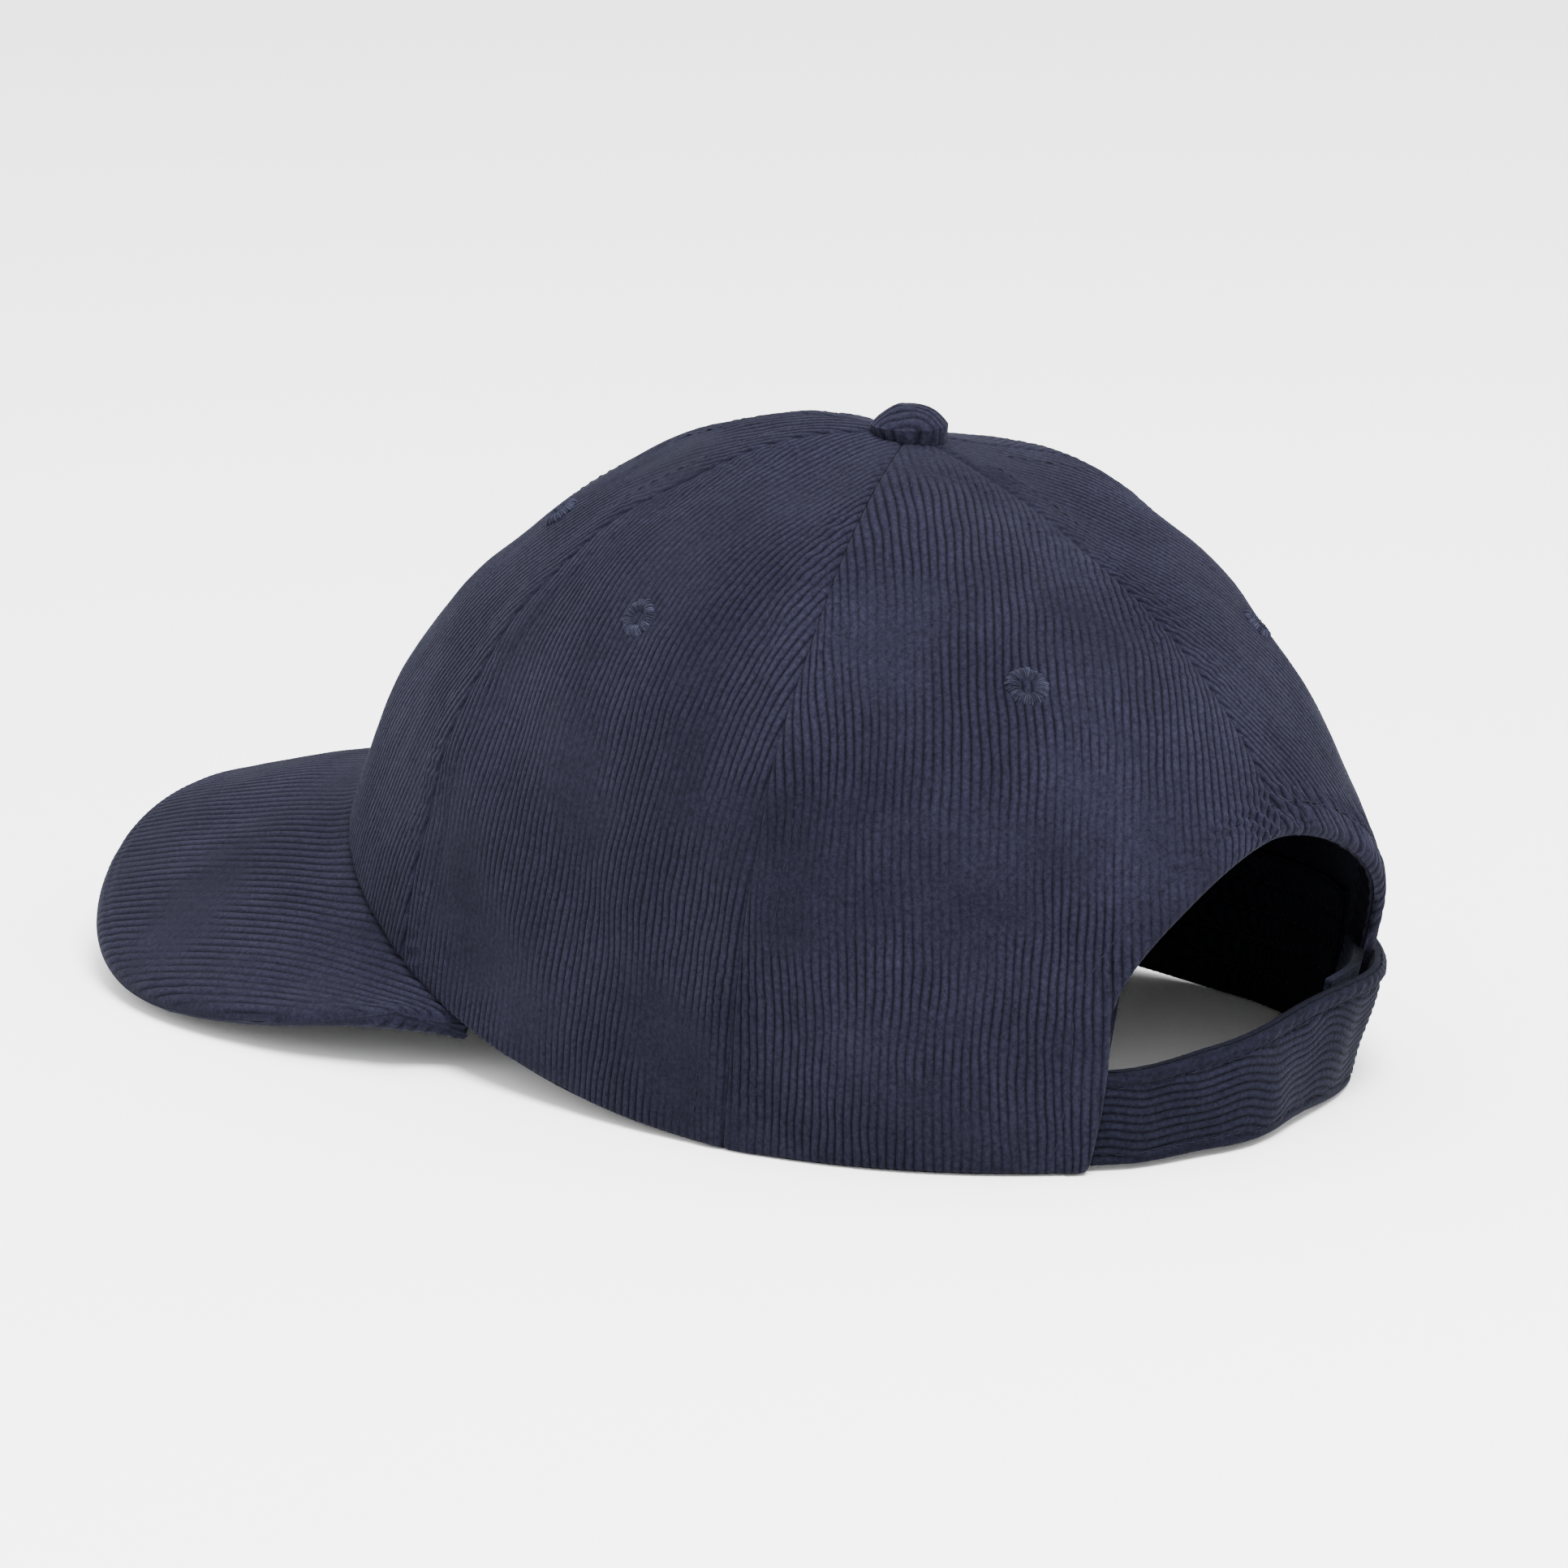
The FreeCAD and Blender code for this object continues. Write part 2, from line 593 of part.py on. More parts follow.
# ---------------------------------------------------------------- labels
def build_labels():
    face = CLOTH + SWEATBAND_GAP + SWEATBAND_THICK

    def place(u, v):
        degrees = SIZE_LABEL_SPAN[0] + (SIZE_LABEL_SPAN[1] - SIZE_LABEL_SPAN[0]) * u
        angle = math.radians(degrees)
        return angle, rise_for(angle, SIZE_LABEL_LOW + SIZE_LABEL_TALL * v)
    add("size_label", layer(place, face + SEWN_GAP, face + LABEL_THICK, 7, 4))
    side = math.radians(90.0)
    corners = [crown(side + dy / HEM_BACK, rise_for(side, z), face)
               for dy in (-CARE_WIDTH / 2, CARE_WIDTH / 2) for z in (6.0, SWEATBAND_HEIGHT)]
    x = min(corner.x for corner in corners) - CARE_CLEAR - LABEL_THICK
    low_corner = V(x, -CARE_WIDTH / 2, CARE_TOP - CARE_LENGTH)
    label = Part.makeBox(LABEL_THICK, CARE_WIDTH, CARE_LENGTH, low_corner)
    upright = [edge for edge in label.Edges
               if abs(edge.Vertexes[0].X - edge.Vertexes[1].X) > LABEL_THICK / 2
               and edge.Vertexes[0].Z < CARE_TOP - 1.0]
    add("care_label", label.makeFillet(CARE_CORNER, upright))


build_crown()
build_tapes()
build_sweatband()
add("arch_facing", arch_facing())
build_visor()
build_button()
build_strap()
build_labels()

box = FreeCAD.BoundBox()
for shape in SHAPES.values():
    for corner in shape.tessellate(BOX_TOLERANCE)[0]:
        box.add(corner)
to_origin = V(-(box.XMin + box.XMax) / 2.0, -(box.YMin + box.YMax) / 2.0, -box.ZMin)
os.makedirs("parts", exist_ok=True)
for name, shape in SHAPES.items():
    placed = shape.copy()
    placed.translate(to_origin)
    placed.exportStep("parts/" + name + ".step")
    print(name, placed.isValid(), len(placed.Solids), round(placed.Volume, 1))
print("origin moved by", to_origin, "box", box)
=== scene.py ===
import math

import bpy
import numpy as np
from mathutils import Matrix, Vector


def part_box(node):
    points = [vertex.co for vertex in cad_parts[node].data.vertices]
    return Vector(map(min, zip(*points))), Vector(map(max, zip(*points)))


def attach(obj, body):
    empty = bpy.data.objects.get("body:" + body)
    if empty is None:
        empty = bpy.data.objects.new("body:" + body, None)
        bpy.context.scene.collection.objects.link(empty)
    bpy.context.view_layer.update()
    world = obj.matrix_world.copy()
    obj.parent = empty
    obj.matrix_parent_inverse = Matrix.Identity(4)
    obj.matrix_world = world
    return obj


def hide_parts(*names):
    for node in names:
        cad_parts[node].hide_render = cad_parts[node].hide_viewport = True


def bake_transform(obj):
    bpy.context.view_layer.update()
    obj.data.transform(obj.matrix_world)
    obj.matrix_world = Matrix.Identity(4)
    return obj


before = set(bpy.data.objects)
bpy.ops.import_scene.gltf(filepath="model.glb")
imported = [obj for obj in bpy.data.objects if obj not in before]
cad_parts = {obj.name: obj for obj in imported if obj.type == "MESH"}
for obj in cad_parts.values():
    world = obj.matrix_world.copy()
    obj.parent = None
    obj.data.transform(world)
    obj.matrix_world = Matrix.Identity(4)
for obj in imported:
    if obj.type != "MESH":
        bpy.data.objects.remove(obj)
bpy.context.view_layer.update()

# Shapes are worked out in millimetres about the button's axis, then written in metres.
# +X is the wearer's left, +Y the back, +Z up; angles are measured from the front.
MM = 0.001
post_low, post_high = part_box("button_post")
AXIS_Y = (post_low.y + post_high.y) / 2.0 / MM
UP = np.array([0.0, 0.0, 1.0])

HEM_FRONT, HEM_BACK, HEM_SIDE = 121.6, 90.7, 72.3       # button axis to the hem
HEM_POWER_FRONT, HEM_POWER_BACK = 2.12, 2.1             # 2 is an ellipse
HEM_LIFT_FRONT, HEM_LIFT_SEAM = 40.0, 16.9              # hem above the table
HEM_LIFT_END = 1.84         # the lift ends at this many times the front-side seam's angle
CROWN_HEIGHT = 114.4
# profile of the crown as a cubic curve: lower handle and its lean, upper handle and its fall
PROFILE_FRONT = (41.6, -0.315, 57.8, -0.16)
PROFILE_SIDE = (69.0, -0.022, 57.5, 0.058)
PROFILE_BACK = (62.6, 0.228, 53.2, 0.196)
# seams about the button's axis, at the hem and at the apex, in degrees from the front
SEAM_FRONT, SEAM_A, SEAM_B, SEAM_BACK = (0.0, 0.0), (55.2, 49.0), (98.4, 110.0), (180.0, 180.0)
HUB = 0.97                  # panels stop here on the profile, whose apex is 1
CLOTH = 1.4                 # thickness of a panel
LINING_DEPTH = 1.45         # outer face of the crown to the tapes sewn inside it
TAPE_DEPTH = 2.02           # and to the tapes' inner face
# the right rear corner leans inward: by how much, its bearing and spread, and where it fades out
PINCH, PINCH_AT, PINCH_SPREAD, PINCH_TOP = 8.0, 210.0, 26.0, 40.0

ARCH_HALF, ARCH_SHOULDER = 42.6, 40.5       # half width of the rear opening, low and higher up
ARCH_SPRING, ARCH_TOP = 26.3, 54.3          # height where its sides turn, and of its top
ARCH_SHAPE = 1.2                            # 1 is an ellipse
ARCH_SIDE_SHARE = 0.35                      # share of the outline's parameter on the straight side

PITCH = 1.6                 # one wale of the corduroy
COLUMNS_PER_WALE = 6
WALE = 0.3                  # height of a wale
MEAN_TONE = 0.66            # tone of worn pile, between the groove's painted shade and the ridge
STITCH_LINE = 6.4           # seam to its topstitching
STITCH_PITCH = 2.7
ARCH_ROW = 5.2              # edge of the rear opening to its stitching
HEM_ROLL, ARCH_ROLL = 1.7, 1.9              # radius of the cloth's turned edges


# ---------------- small tools
def ease(value, start, end):
    s = np.clip((value - start) / (end - start), 0.0, 1.0)
    return s * s * (3.0 - 2.0 * s)


def hump(value, centre, width):
    return np.exp(-((value - centre) / width) ** 2)


def waves(points, length, seed, count=16):
    """Smooth random field over points of about that wavelength, between about -2 and 2."""
    rng = np.random.default_rng(seed)
    ways = rng.normal(size=(count, 3))
    ways /= np.linalg.norm(ways, axis=1)[:, None]
    ways *= (2.0 * np.pi / length * rng.uniform(0.65, 1.35, count))[:, None]
    phases = rng.uniform(0.0, 2.0 * np.pi, count)
    total = np.zeros(points.shape[:-1])
    for way, phase in zip(ways, phases):
        total += np.sin(points @ way + phase)
    return total * math.sqrt(2.0 / count)


def unit(vectors):
    return vectors / np.maximum(np.linalg.norm(vectors, axis=-1, keepdims=True), 1e-9)


def tangents(line):
    return unit(np.gradient(line, axis=0))


def lengths(line):
    return np.concatenate([[0.0], np.cumsum(np.linalg.norm(np.diff(line, axis=0), axis=1))])


def near(points, line):
    """Distance from each point to a line of points, and how far along the line that is."""
    flat = points.reshape(-1, 3)
    way, run = tangents(line), lengths(line)
    gap, along = np.empty(len(flat)), np.empty(len(flat))
    for start in range(0, len(flat), 8000):
        part = flat[start:start + 8000]
        square = ((part[:, None, :] - line[None, :, :]) ** 2).sum(-1)
        index = square.argmin(1)
        step = ((part - line[index]) * way[index]).sum(1)
        nearest = square[np.arange(len(part)), index]
        gap[start:start + 8000] = np.sqrt(np.maximum(nearest - step ** 2, 0))
        along[start:start + 8000] = run[index] + step
    return gap.reshape(points.shape[:-1]), along.reshape(points.shape[:-1])


# ---------------- crown surface
def hem_lift(angle):
    turn = np.degrees(np.abs(np.arctan2(np.sin(angle), np.cos(angle)))) / SEAM_A[0]
    fade = np.clip(1.0 - (turn - 1.0) / (HEM_LIFT_END - 1.0), 0.0, None)
    front = HEM_LIFT_FRONT - (HEM_LIFT_FRONT - HEM_LIFT_SEAM) * np.minimum(turn, 1.0) ** 1.5
    return np.where(turn < 1.0, front, HEM_LIFT_SEAM * fade ** 2)


def profile(angle):
    ahead = np.maximum(np.cos(angle), 0.0) ** 1.5
    behind = np.maximum(-np.cos(angle), 0.0) ** 1.5
    side = 1.0 - ahead - behind
    return [ahead * f + side * s + behind * b
            for f, s, b in zip(PROFILE_FRONT, PROFILE_SIDE, PROFILE_BACK)]


def outer(angle, t):
    """Crown's outer face; t is 0 at the hem and 1 at the apex."""
    angle, t = np.broadcast_arrays(np.asarray(angle, float), np.asarray(t, float))
    low, lean, high, fall = profile(angle)
    sine, cosine = np.sin(angle), np.cos(angle)
    share = (1.0 + np.tanh(3.0 * cosine)) / 2.0
    reach = HEM_FRONT * share + HEM_BACK * (1.0 - share)
    power = 2.0 / (HEM_POWER_FRONT * share + HEM_POWER_BACK * (1.0 - share))
    hem_x = HEM_SIDE * np.sign(sine) * np.abs(sine) ** power
    hem_y = -reach * np.sign(cosine) * np.abs(cosine) ** power
    hem_r, hem_z = np.hypot(hem_x, hem_y), hem_lift(angle)
    a, b, c, d = (1 - t) ** 3, 3 * t * (1 - t) ** 2, 3 * t * t * (1 - t), t ** 3
    r = a * hem_r + b * (hem_r + low * np.sin(lean)) + c * high * np.cos(fall)
    z = (a * hem_z + b * (hem_z + low * np.cos(lean))
         + c * (CROWN_HEIGHT - high * np.sin(fall)) + d * CROWN_HEIGHT)
    turn = np.degrees(np.arctan2(sine, cosine)) % 360.0
    r = r - PINCH * hump(turn, PINCH_AT, PINCH_SPREAD) * (1.0 - ease(z, 0.0, PINCH_TOP))
    return np.stack([hem_x / hem_r * r, hem_y / hem_r * r, z], -1)


def outward(angle, t):
    step = 0.004
    across = outer(angle + step, t) - outer(angle - step, t)
    rising = outer(angle, t + step) - outer(angle, t - step)
    return unit(np.cross(across, rising))


def crown(angle, t, depth=0.0):
    return outer(angle, t) - outward(angle, t) * np.asarray(depth)[..., None]


def rise_for(angle, height):
    return height / (3.0 * profile(np.asarray(angle, float))[0])


def seam_angle(seam, t):
    return np.radians(seam[0] + (seam[1] - seam[0]) * t)


def mirrored(seam):
    return (-seam[0], -seam[1])


def arch_point(s):
    """Outline of the rear opening: s is -1 at the right corner, 0 at the top, 1 at the left."""
    m = 1.0 - np.abs(s)
    straight = np.minimum(m / ARCH_SIDE_SHARE, 1.0)
    turn = np.radians(90.0 * np.clip((m - ARCH_SIDE_SHARE) / (1.0 - ARCH_SIDE_SHARE), 0.0, 1.0))
    side_x = ARCH_HALF - (ARCH_HALF - ARCH_SHOULDER) * straight
    round_x = ARCH_SHOULDER * np.maximum(np.cos(turn), 0.0) ** ARCH_SHAPE
    round_z = ARCH_SPRING + (ARCH_TOP - ARCH_SPRING) * np.sin(turn) ** ARCH_SHAPE
    low = m < ARCH_SIDE_SHARE
    z = np.where(low, ARCH_SPRING * straight, round_z)
    return np.copysign(np.where(low, side_x, round_x), s), z


def on_back(x, z):
    """Angle and t of the crown's point that is seen at x, z from behind, found step by step."""
    angle, t = np.radians(180.0 - x * 0.7), np.full_like(x, 0.2)
    for _ in range(30):
        here = outer(angle, t)
        t = t + (z - here[..., 2]) / 190.0
        angle = angle - (x - here[..., 0]) / 95.0
    return angle, t


SEAMS = {"front": SEAM_FRONT, "front_left": SEAM_A, "rear_left": SEAM_B, "back": SEAM_BACK,
         "front_right": mirrored(SEAM_A), "rear_right": mirrored(SEAM_B)}
SEAM_LINES = {}
for name, seam in SEAMS.items():
    t_line = np.linspace(0.0, 1.0, 420)
    SEAM_LINES[name] = outer(seam_angle(seam, t_line), t_line)
ARCH_S = np.linspace(1.0, -1.0, 420)
ARCH_LINE = outer(*on_back(*arch_point(ARCH_S)))


def drape(plain, rise):
    """Slow undulation that every layer of the crown shares; the hem stays put."""
    slow = 0.62 * waves(plain, 66.0, 11) + 0.26 * waves(plain, 30.0, 12)
    return ease(rise, 0.0, 30.0) * slow


def rise_of(angle, t):
    return 3.0 * profile(angle)[0] * t


def turned_under(gap, radius):
    """How far a rolled edge of that radius drops away, at a distance from the edge."""
    turned = np.clip(radius - gap, 0.0, radius)
    return radius - np.sqrt(radius ** 2 - turned ** 2)


def cloth(angle, t, seams=(), near_arch=False):
    """Where the crown's cloth really lies, with its seams, puckers and turned edges."""
    plain, normal = outer(angle, t), outward(angle, t)
    seam_gap, seam_run = np.full(t.shape, 1e3), np.zeros(t.shape)
    for seam in seams:
        gap, run = near(plain, SEAM_LINES[seam])
        seam_run = np.where(gap < seam_gap, run, seam_run)
        seam_gap = np.minimum(gap, seam_gap)
    hem_gap = rise_of(angle, t)
    arch_gap, arch_run = near(plain, ARCH_LINE) if near_arch else (np.full(t.shape, 1e3), 0.0)
    lift = drape(plain, hem_gap)
    # seam: a narrow valley, a slightly raised allowance each side, a dimpled line of stitches
    room = 1.0 - ease(t, 0.84, 0.94)
    patchy = ease(waves(plain, 24.0, 22), -0.4, 1.3)
    ladder = np.sin(2.0 * np.pi * seam_run / 3.4 + 1.6 * waves(plain, 14.0, 21))
    lift = lift + 0.26 * room * (1.0 - ease(seam_gap, STITCH_LINE - 0.3, STITCH_LINE + 1.4))
    lift = lift - 0.5 * np.exp(-(seam_gap / 0.5) ** 1.3)
    lift = lift - 0.14 * room * hump(seam_gap, STITCH_LINE, 0.45)
    lift = lift + 0.2 * ladder * patchy * room * hump(seam_gap, 3.4, 2.6)
    # hem and rear opening: the cloth is turned under
    lift = lift - turned_under(hem_gap, HEM_ROLL)
    if near_arch:
        lift = lift - turned_under(arch_gap, ARCH_ROLL)
        top = ease(plain[..., 2], 34.0, 50.0)
        twist = np.sin(2.0 * np.pi * (arch_run + 0.9 * arch_gap) / 3.3 + 1.2 * waves(plain, 12.0, 23))
        roll = 1.0 - ease(arch_gap, ARCH_ROW - 0.6, ARCH_ROW + 1.2)
        lift = lift + roll * (0.45 + 0.3 * twist * (0.35 + 0.65 * top) * patchy)
        lift = lift - 0.28 * hump(arch_gap, ARCH_ROW, 0.5)
        lift = lift + 0.25 * twist * hump(arch_gap, ARCH_ROW + 1.5, 2.2) * top
    return plain + normal * lift[..., None], normal, seam_gap, arch_gap


def under(angle, t, depth):
    """A layer that lies at a depth below the crown's outer face."""
    angle, t = np.broadcast_arrays(angle, t)
    plain, normal = outer(angle, t), outward(angle, t)
    lift = drape(plain, rise_of(angle, t)) - depth
    return plain + normal * lift[..., None], normal


# ---------------- mesh building
def to_metres(points):
    return (np.asarray(points).reshape(-1, 3) + np.array([0.0, AXIS_Y, 0.0])) * MM


def add_object(name, data):
    obj = bpy.data.objects.new(name, data)
    bpy.context.scene.collection.objects.link(obj)
    return obj


def make_object(name, points, faces, material, ridge=None, body="crown"):
    mesh = bpy.data.meshes.new(name)
    mesh.from_pydata(to_metres(points).tolist(), [], faces)
    if ridge is not None:
        layer = mesh.attributes.new("ridge", "FLOAT", "POINT")
        layer.data.foreach_set("value", np.asarray(ridge, np.float32).ravel())
    mesh.polygons.foreach_set("use_smooth", [True] * len(mesh.polygons))
    mesh.update()
    mesh.materials.append(material)
    obj = add_object(name, mesh)
    if body:
        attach(obj, body)
    return obj


def grid_faces(rows, columns, start=0, flip=False):
    i, j = np.meshgrid(np.arange(rows - 1), np.arange(columns - 1), indexing="ij")
    a = (start + i * columns + j).ravel()
    quads = np.stack([a, a + columns, a + columns + 1, a + 1], 1)
    return (quads[:, ::-1] if flip else quads).tolist()


def tube_faces(rings, around, start=0):
    i, j = np.meshgrid(np.arange(rings - 1), np.arange(around), indexing="ij")
    a, b = (start + i * around + j).ravel(), (start + i * around + (j + 1) % around).ravel()
    return np.stack([a, b, b + around, a + around], 1).tolist()


def closed_slab(front, back, skip=(1, 1)):
    """Faces between a fine front grid and a back grid that keeps every skip-th row and column."""
    rows, columns = front.shape[:2]
    coarse = back[::skip[0], ::skip[1]]
    low_rows, low_columns = coarse.shape[:2]
    base = rows * columns
    faces = grid_faces(rows, columns) + grid_faces(low_rows, low_columns, base, True)

    def rim(fine, rough, step, flip):
        for k in range(len(rough) - 1):
            loop = fine[k * step:k * step + step + 1] + [rough[k + 1], rough[k]]
            faces.append(loop if flip else loop[::-1])
    index = np.arange(base).reshape(rows, columns)
    below = base + np.arange(low_rows * low_columns).reshape(low_rows, low_columns)
    rim(index[0].tolist(), below[0].tolist(), skip[1], False)
    rim(index[-1].tolist(), below[-1].tolist(), skip[1], True)
    rim(index[:, 0].tolist(), below[:, 0].tolist(), skip[0], True)
    rim(index[:, -1].tolist(), below[:, -1].tolist(), skip[0], False)
    return np.concatenate([front.reshape(-1, 3), coarse.reshape(-1, 3)]), faces


def wale_height(u):
    return np.abs(np.sin(np.pi * u / PITCH)) ** 0.6


# ---------------- materials
def node_tools(name):
    material = bpy.data.materials.new(name)
    material.use_nodes = True
    tree = material.node_tree
    tree.nodes.clear()
    out = tree.nodes.new("ShaderNodeOutputMaterial")
    shader = tree.nodes.new("ShaderNodeBsdfPrincipled")
    tree.links.new(shader.outputs[0], out.inputs[0])

    def node(kind, **settings):
        made = tree.nodes.new("ShaderNode" + kind)
        for key, value in settings.items():
            if hasattr(made, key):
                setattr(made, key, value)
            else:
                made.inputs[key.replace("_", " ")].default_value = value
        return made

    def join(source, target, socket, output=0):
        tree.links.new(source.outputs[output], target.inputs[socket])
        return target

    def texture(kind, **settings):
        return join(node("TexCoord"), node(kind, **settings), "Vector", 3)

    def rough_surface(relief, strength, distance, roughness, specular, sheen):
        bump = join(relief, node("Bump", Strength=strength, Distance=distance), "Height")
        join(bump, shader, "Normal")
        shader.inputs["Roughness"].default_value = roughness
        shader.inputs["Specular IOR Level"].default_value = specular
        shader.inputs["Sheen Weight"].default_value = sheen
    return material, shader, node, join, texture, rough_surface


def ramp(node, low, high, low_at, high_at):
    made = node("ValToRGB")
    made.color_ramp.elements[0].position = low_at
    made.color_ramp.elements[1].position = high_at
    made.color_ramp.elements[0].color = (*low, 1.0)
    made.color_ramp.elements[1].color = (*high, 1.0)
    return made


def corduroy_material(name, ridge, groove_shade_colour):
    """Pile colour lighter on the wales and darker between them, by the mesh's ridge field; the dark
    grooves are painted shade.
    """
    material, shader, node, join, texture, rough_surface = node_tools(name)
    patches = texture("TexNoise", Scale=38.0, Detail=3.0, Roughness=0.6)
    fuzz = texture("TexNoise", Scale=1300.0, Detail=3.0, Roughness=0.75)
    height = node("Attribute", attribute_name="ridge")
    # painted shade: the colour falls to the groove colour down between the wales
    colour = join(height, ramp(node, groove_shade_colour, ridge, 0.15, 0.95), "Fac", 2)
    shade = join(patches, ramp(node, (0.74, 0.74, 0.76), (1.15, 1.15, 1.13), 0.32, 0.68), "Fac")
    grain = join(fuzz, ramp(node, (0.5, 0.5, 0.52), (1.55, 1.55, 1.5), 0.28, 0.74), "Fac")
    mixed, output = colour, 0
    for tint in (shade, grain):
        product = node("Mix", data_type="RGBA", blend_type="MULTIPLY")
        product.inputs[0].default_value = 1.0
        join(mixed, product, 6, output)
        join(tint, product, 7)
        mixed, output = product, 2
    join(mixed, shader, "Base Color", output)
    rough_surface(fuzz, 0.8, 0.0003, 0.95, 0.04, 0.03)
    shader.inputs["Sheen Roughness"].default_value = 0.35
    shader.inputs["Sheen Tint"].default_value = (0.62, 0.68, 0.9, 1.0)
    return material


def weave_material(name, dark, light, scale, sheen=0.0):
    material, shader, node, join, texture, rough_surface = node_tools(name)
    twill = texture("TexWave", Scale=scale / 2.0, Distortion=1.5, Detail=2.0)
    noise = texture("TexNoise", Scale=scale / 3.0, Detail=3.0)
    mixed = node("Mix", data_type="FLOAT")
    mixed.inputs[0].default_value = 0.5
    join(twill, mixed, 2, 1)
    join(noise, mixed, 3)
    colour = join(mixed, ramp(node, dark, light, 0.2, 0.8), "Fac")
    join(colour, shader, "Base Color")
    rough_surface(mixed, 0.5, 0.0002, 0.9, 0.05, sheen)
    return material


# the second colour is painted shade for the grooves between the wales
CORD = corduroy_material("corduroy_pile", (0.0083, 0.0082, 0.0158), (0.0024, 0.0024, 0.0052))
THREAD = weave_material("thread", (0.004, 0.0042, 0.008), (0.0085, 0.0088, 0.016), 3000.0, 0.02)
# the dark colour is painted shade for the gaps between threads and the hole
EYELET_THREAD = corduroy_material("eyelet_thread", (0.022, 0.0228, 0.039), (0.0016, 0.0017, 0.0034))


# ---------------- crown panels
def panel_columns(low, high, grain):
    """Columns of angle and t that run beside the panel's grain line, as its wales do."""
    t_table = np.linspace(0.0, HUB, 330)
    share = np.linspace(0.0, 1.0, 161)
    start, end = seam_angle(low, t_table), seam_angle(high, t_table)
    angles = start[:, None] + (end - start)[:, None] * share
    spots = outer(angles, t_table[:, None])
    run = np.zeros(angles.shape)
    run[:, 1:] = np.cumsum(np.linalg.norm(np.diff(spots, axis=1), axis=-1), axis=1)
    straight = seam_angle(grain, t_table)
    run -= np.array([[np.interp(straight[k], angles[k], run[k])] for k in range(len(t_table))])
    right, left = run[:, -1], -run[:, 0]
    step = PITCH / COLUMNS_PER_WALE
    first, last = -(left.max() - 0.02), right.max() - 0.02
    inner = np.arange(math.ceil(first / step), math.floor(last / step) + 1) * step
    extra = -(len(inner) + 1) % COLUMNS_PER_WALE
    u = np.concatenate([[first], inner, np.linspace(inner[-1], last, extra + 2)[1:]])
    table = np.stack([np.interp(u, run[k], angles[k]) for k in range(len(t_table))])
    return u, t_table, table, left, right


def panel_grid(low, high, grain, rows, cut_arch):
    u, t_table, table, left, right = panel_columns(low, high, grain)
    if cut_arch:
        arch = arch_point(np.linspace(0.0, 1.0, 600))
        spots = outer(table, t_table[:, None])
        limit = np.interp(np.abs(spots[..., 0]), arch[0], arch[1], right=-1.0)
        inside = spots[..., 2] < limit
    spread = np.linspace(0.0, 1.0, rows)
    spread = spread - 0.55 * np.sin(2.0 * np.pi * spread) / (2.0 * np.pi)
    angle, t = np.zeros((len(u), rows)), np.zeros((len(u), rows))
    for k, place in enumerate(u):
        width = right if place >= 0 else left
        wide = np.nonzero(width >= abs(place))[0]
        first, last = wide[0], wide[-1]
        top = t_table[last]
        if last + 1 < len(t_table):
            top += (t_table[1] * (width[last] - abs(place)) / (width[last] - width[last + 1]))
        bottom = t_table[first]
        if first > 0:
            bottom -= t_table[1] * (width[first] - abs(place)) / (width[first] - width[first - 1])
        if cut_arch:
            hit = np.nonzero(inside[:, k])[0]
            if len(hit):
                j = hit[-1]
                over = spots[j:j + 2, k, 2] - limit[j:j + 2, k]
                bottom = max(bottom, t_table[j] + t_table[1] * over[0] / (over[0] - over[1]))
        top = max(top, bottom + 1e-4)
        t[k] = bottom + (top - bottom) * spread
        angle[k] = np.interp(t[k], t_table, table[:, k])
    return u, angle, t


def pile(plain):
    """How upright the pile stands: worn flat in soft patches, crisp elsewhere."""
    return np.clip(0.78 + 0.34 * waves(plain, 34.0, 31) + 0.12 * waves(plain, 9.0, 32), 0.12, 1.1)


def ridge_tone(across, plain):
    """0 in the grooves and 1 on the wales, evened out where the pile is worn flat; the groove end is
    painted shade.
    """
    return MEAN_TONE + (wale_height(across) - MEAN_TONE) * np.minimum(pile(plain), 1.0)


def build_panel(name, low, high, seams, grain, cut_arch=False):
    u, angle, t = panel_grid(low, high, grain, 96, cut_arch)
    spots, normal, seam_gap, arch_gap = cloth(angle, t, seams, cut_arch)
    plain = outer(angle, t)
    edge = np.minimum(seam_gap, arch_gap)
    rib = wale_height(u)[:, None] * pile(plain)
    spots = spots + normal * (rib * WALE * ease(edge, -0.4, 0.9))[..., None]
    sideways = unit(np.cross(normal, UP))
    sway = 0.34 * waves(plain, 34.0, 41) + 0.1 * waves(plain, 8.0, 42)
    spots = spots + sideways * (sway * ease(edge, 0.3, 5.0))[..., None]
    back = under(angle, t, CLOTH)[0]
    points, faces = closed_slab(spots, back, (6, 5))
    tone = ridge_tone(u[:, None], plain).ravel()
    ridge = np.concatenate([tone, np.full(len(points) - len(tone), 0.3)])
    obj = make_object(name + "_cloth", points, faces, CORD, ridge)
    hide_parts(name)


GRAIN_FRONT, GRAIN_SIDE, GRAIN_BACK = (27.6, 24.5), (76.8, 79.5), (125.0, 130.0)
for side, mirror in (("left", False), ("right", True)):
    for part, low, high, seams, grain in (
            ("front", SEAM_FRONT, SEAM_A, ("front", "front_" + side), GRAIN_FRONT),
            ("side", SEAM_A, SEAM_B, ("front_" + side, "rear_" + side), GRAIN_SIDE),
            ("back", SEAM_B, SEAM_BACK, ("rear_" + side, "back"), GRAIN_BACK)):
        if mirror:
            low, high, grain = mirrored(high), mirrored(low), mirrored(grain)
        build_panel("panel_" + part + "_" + side, low, high, seams, grain, part == "back")


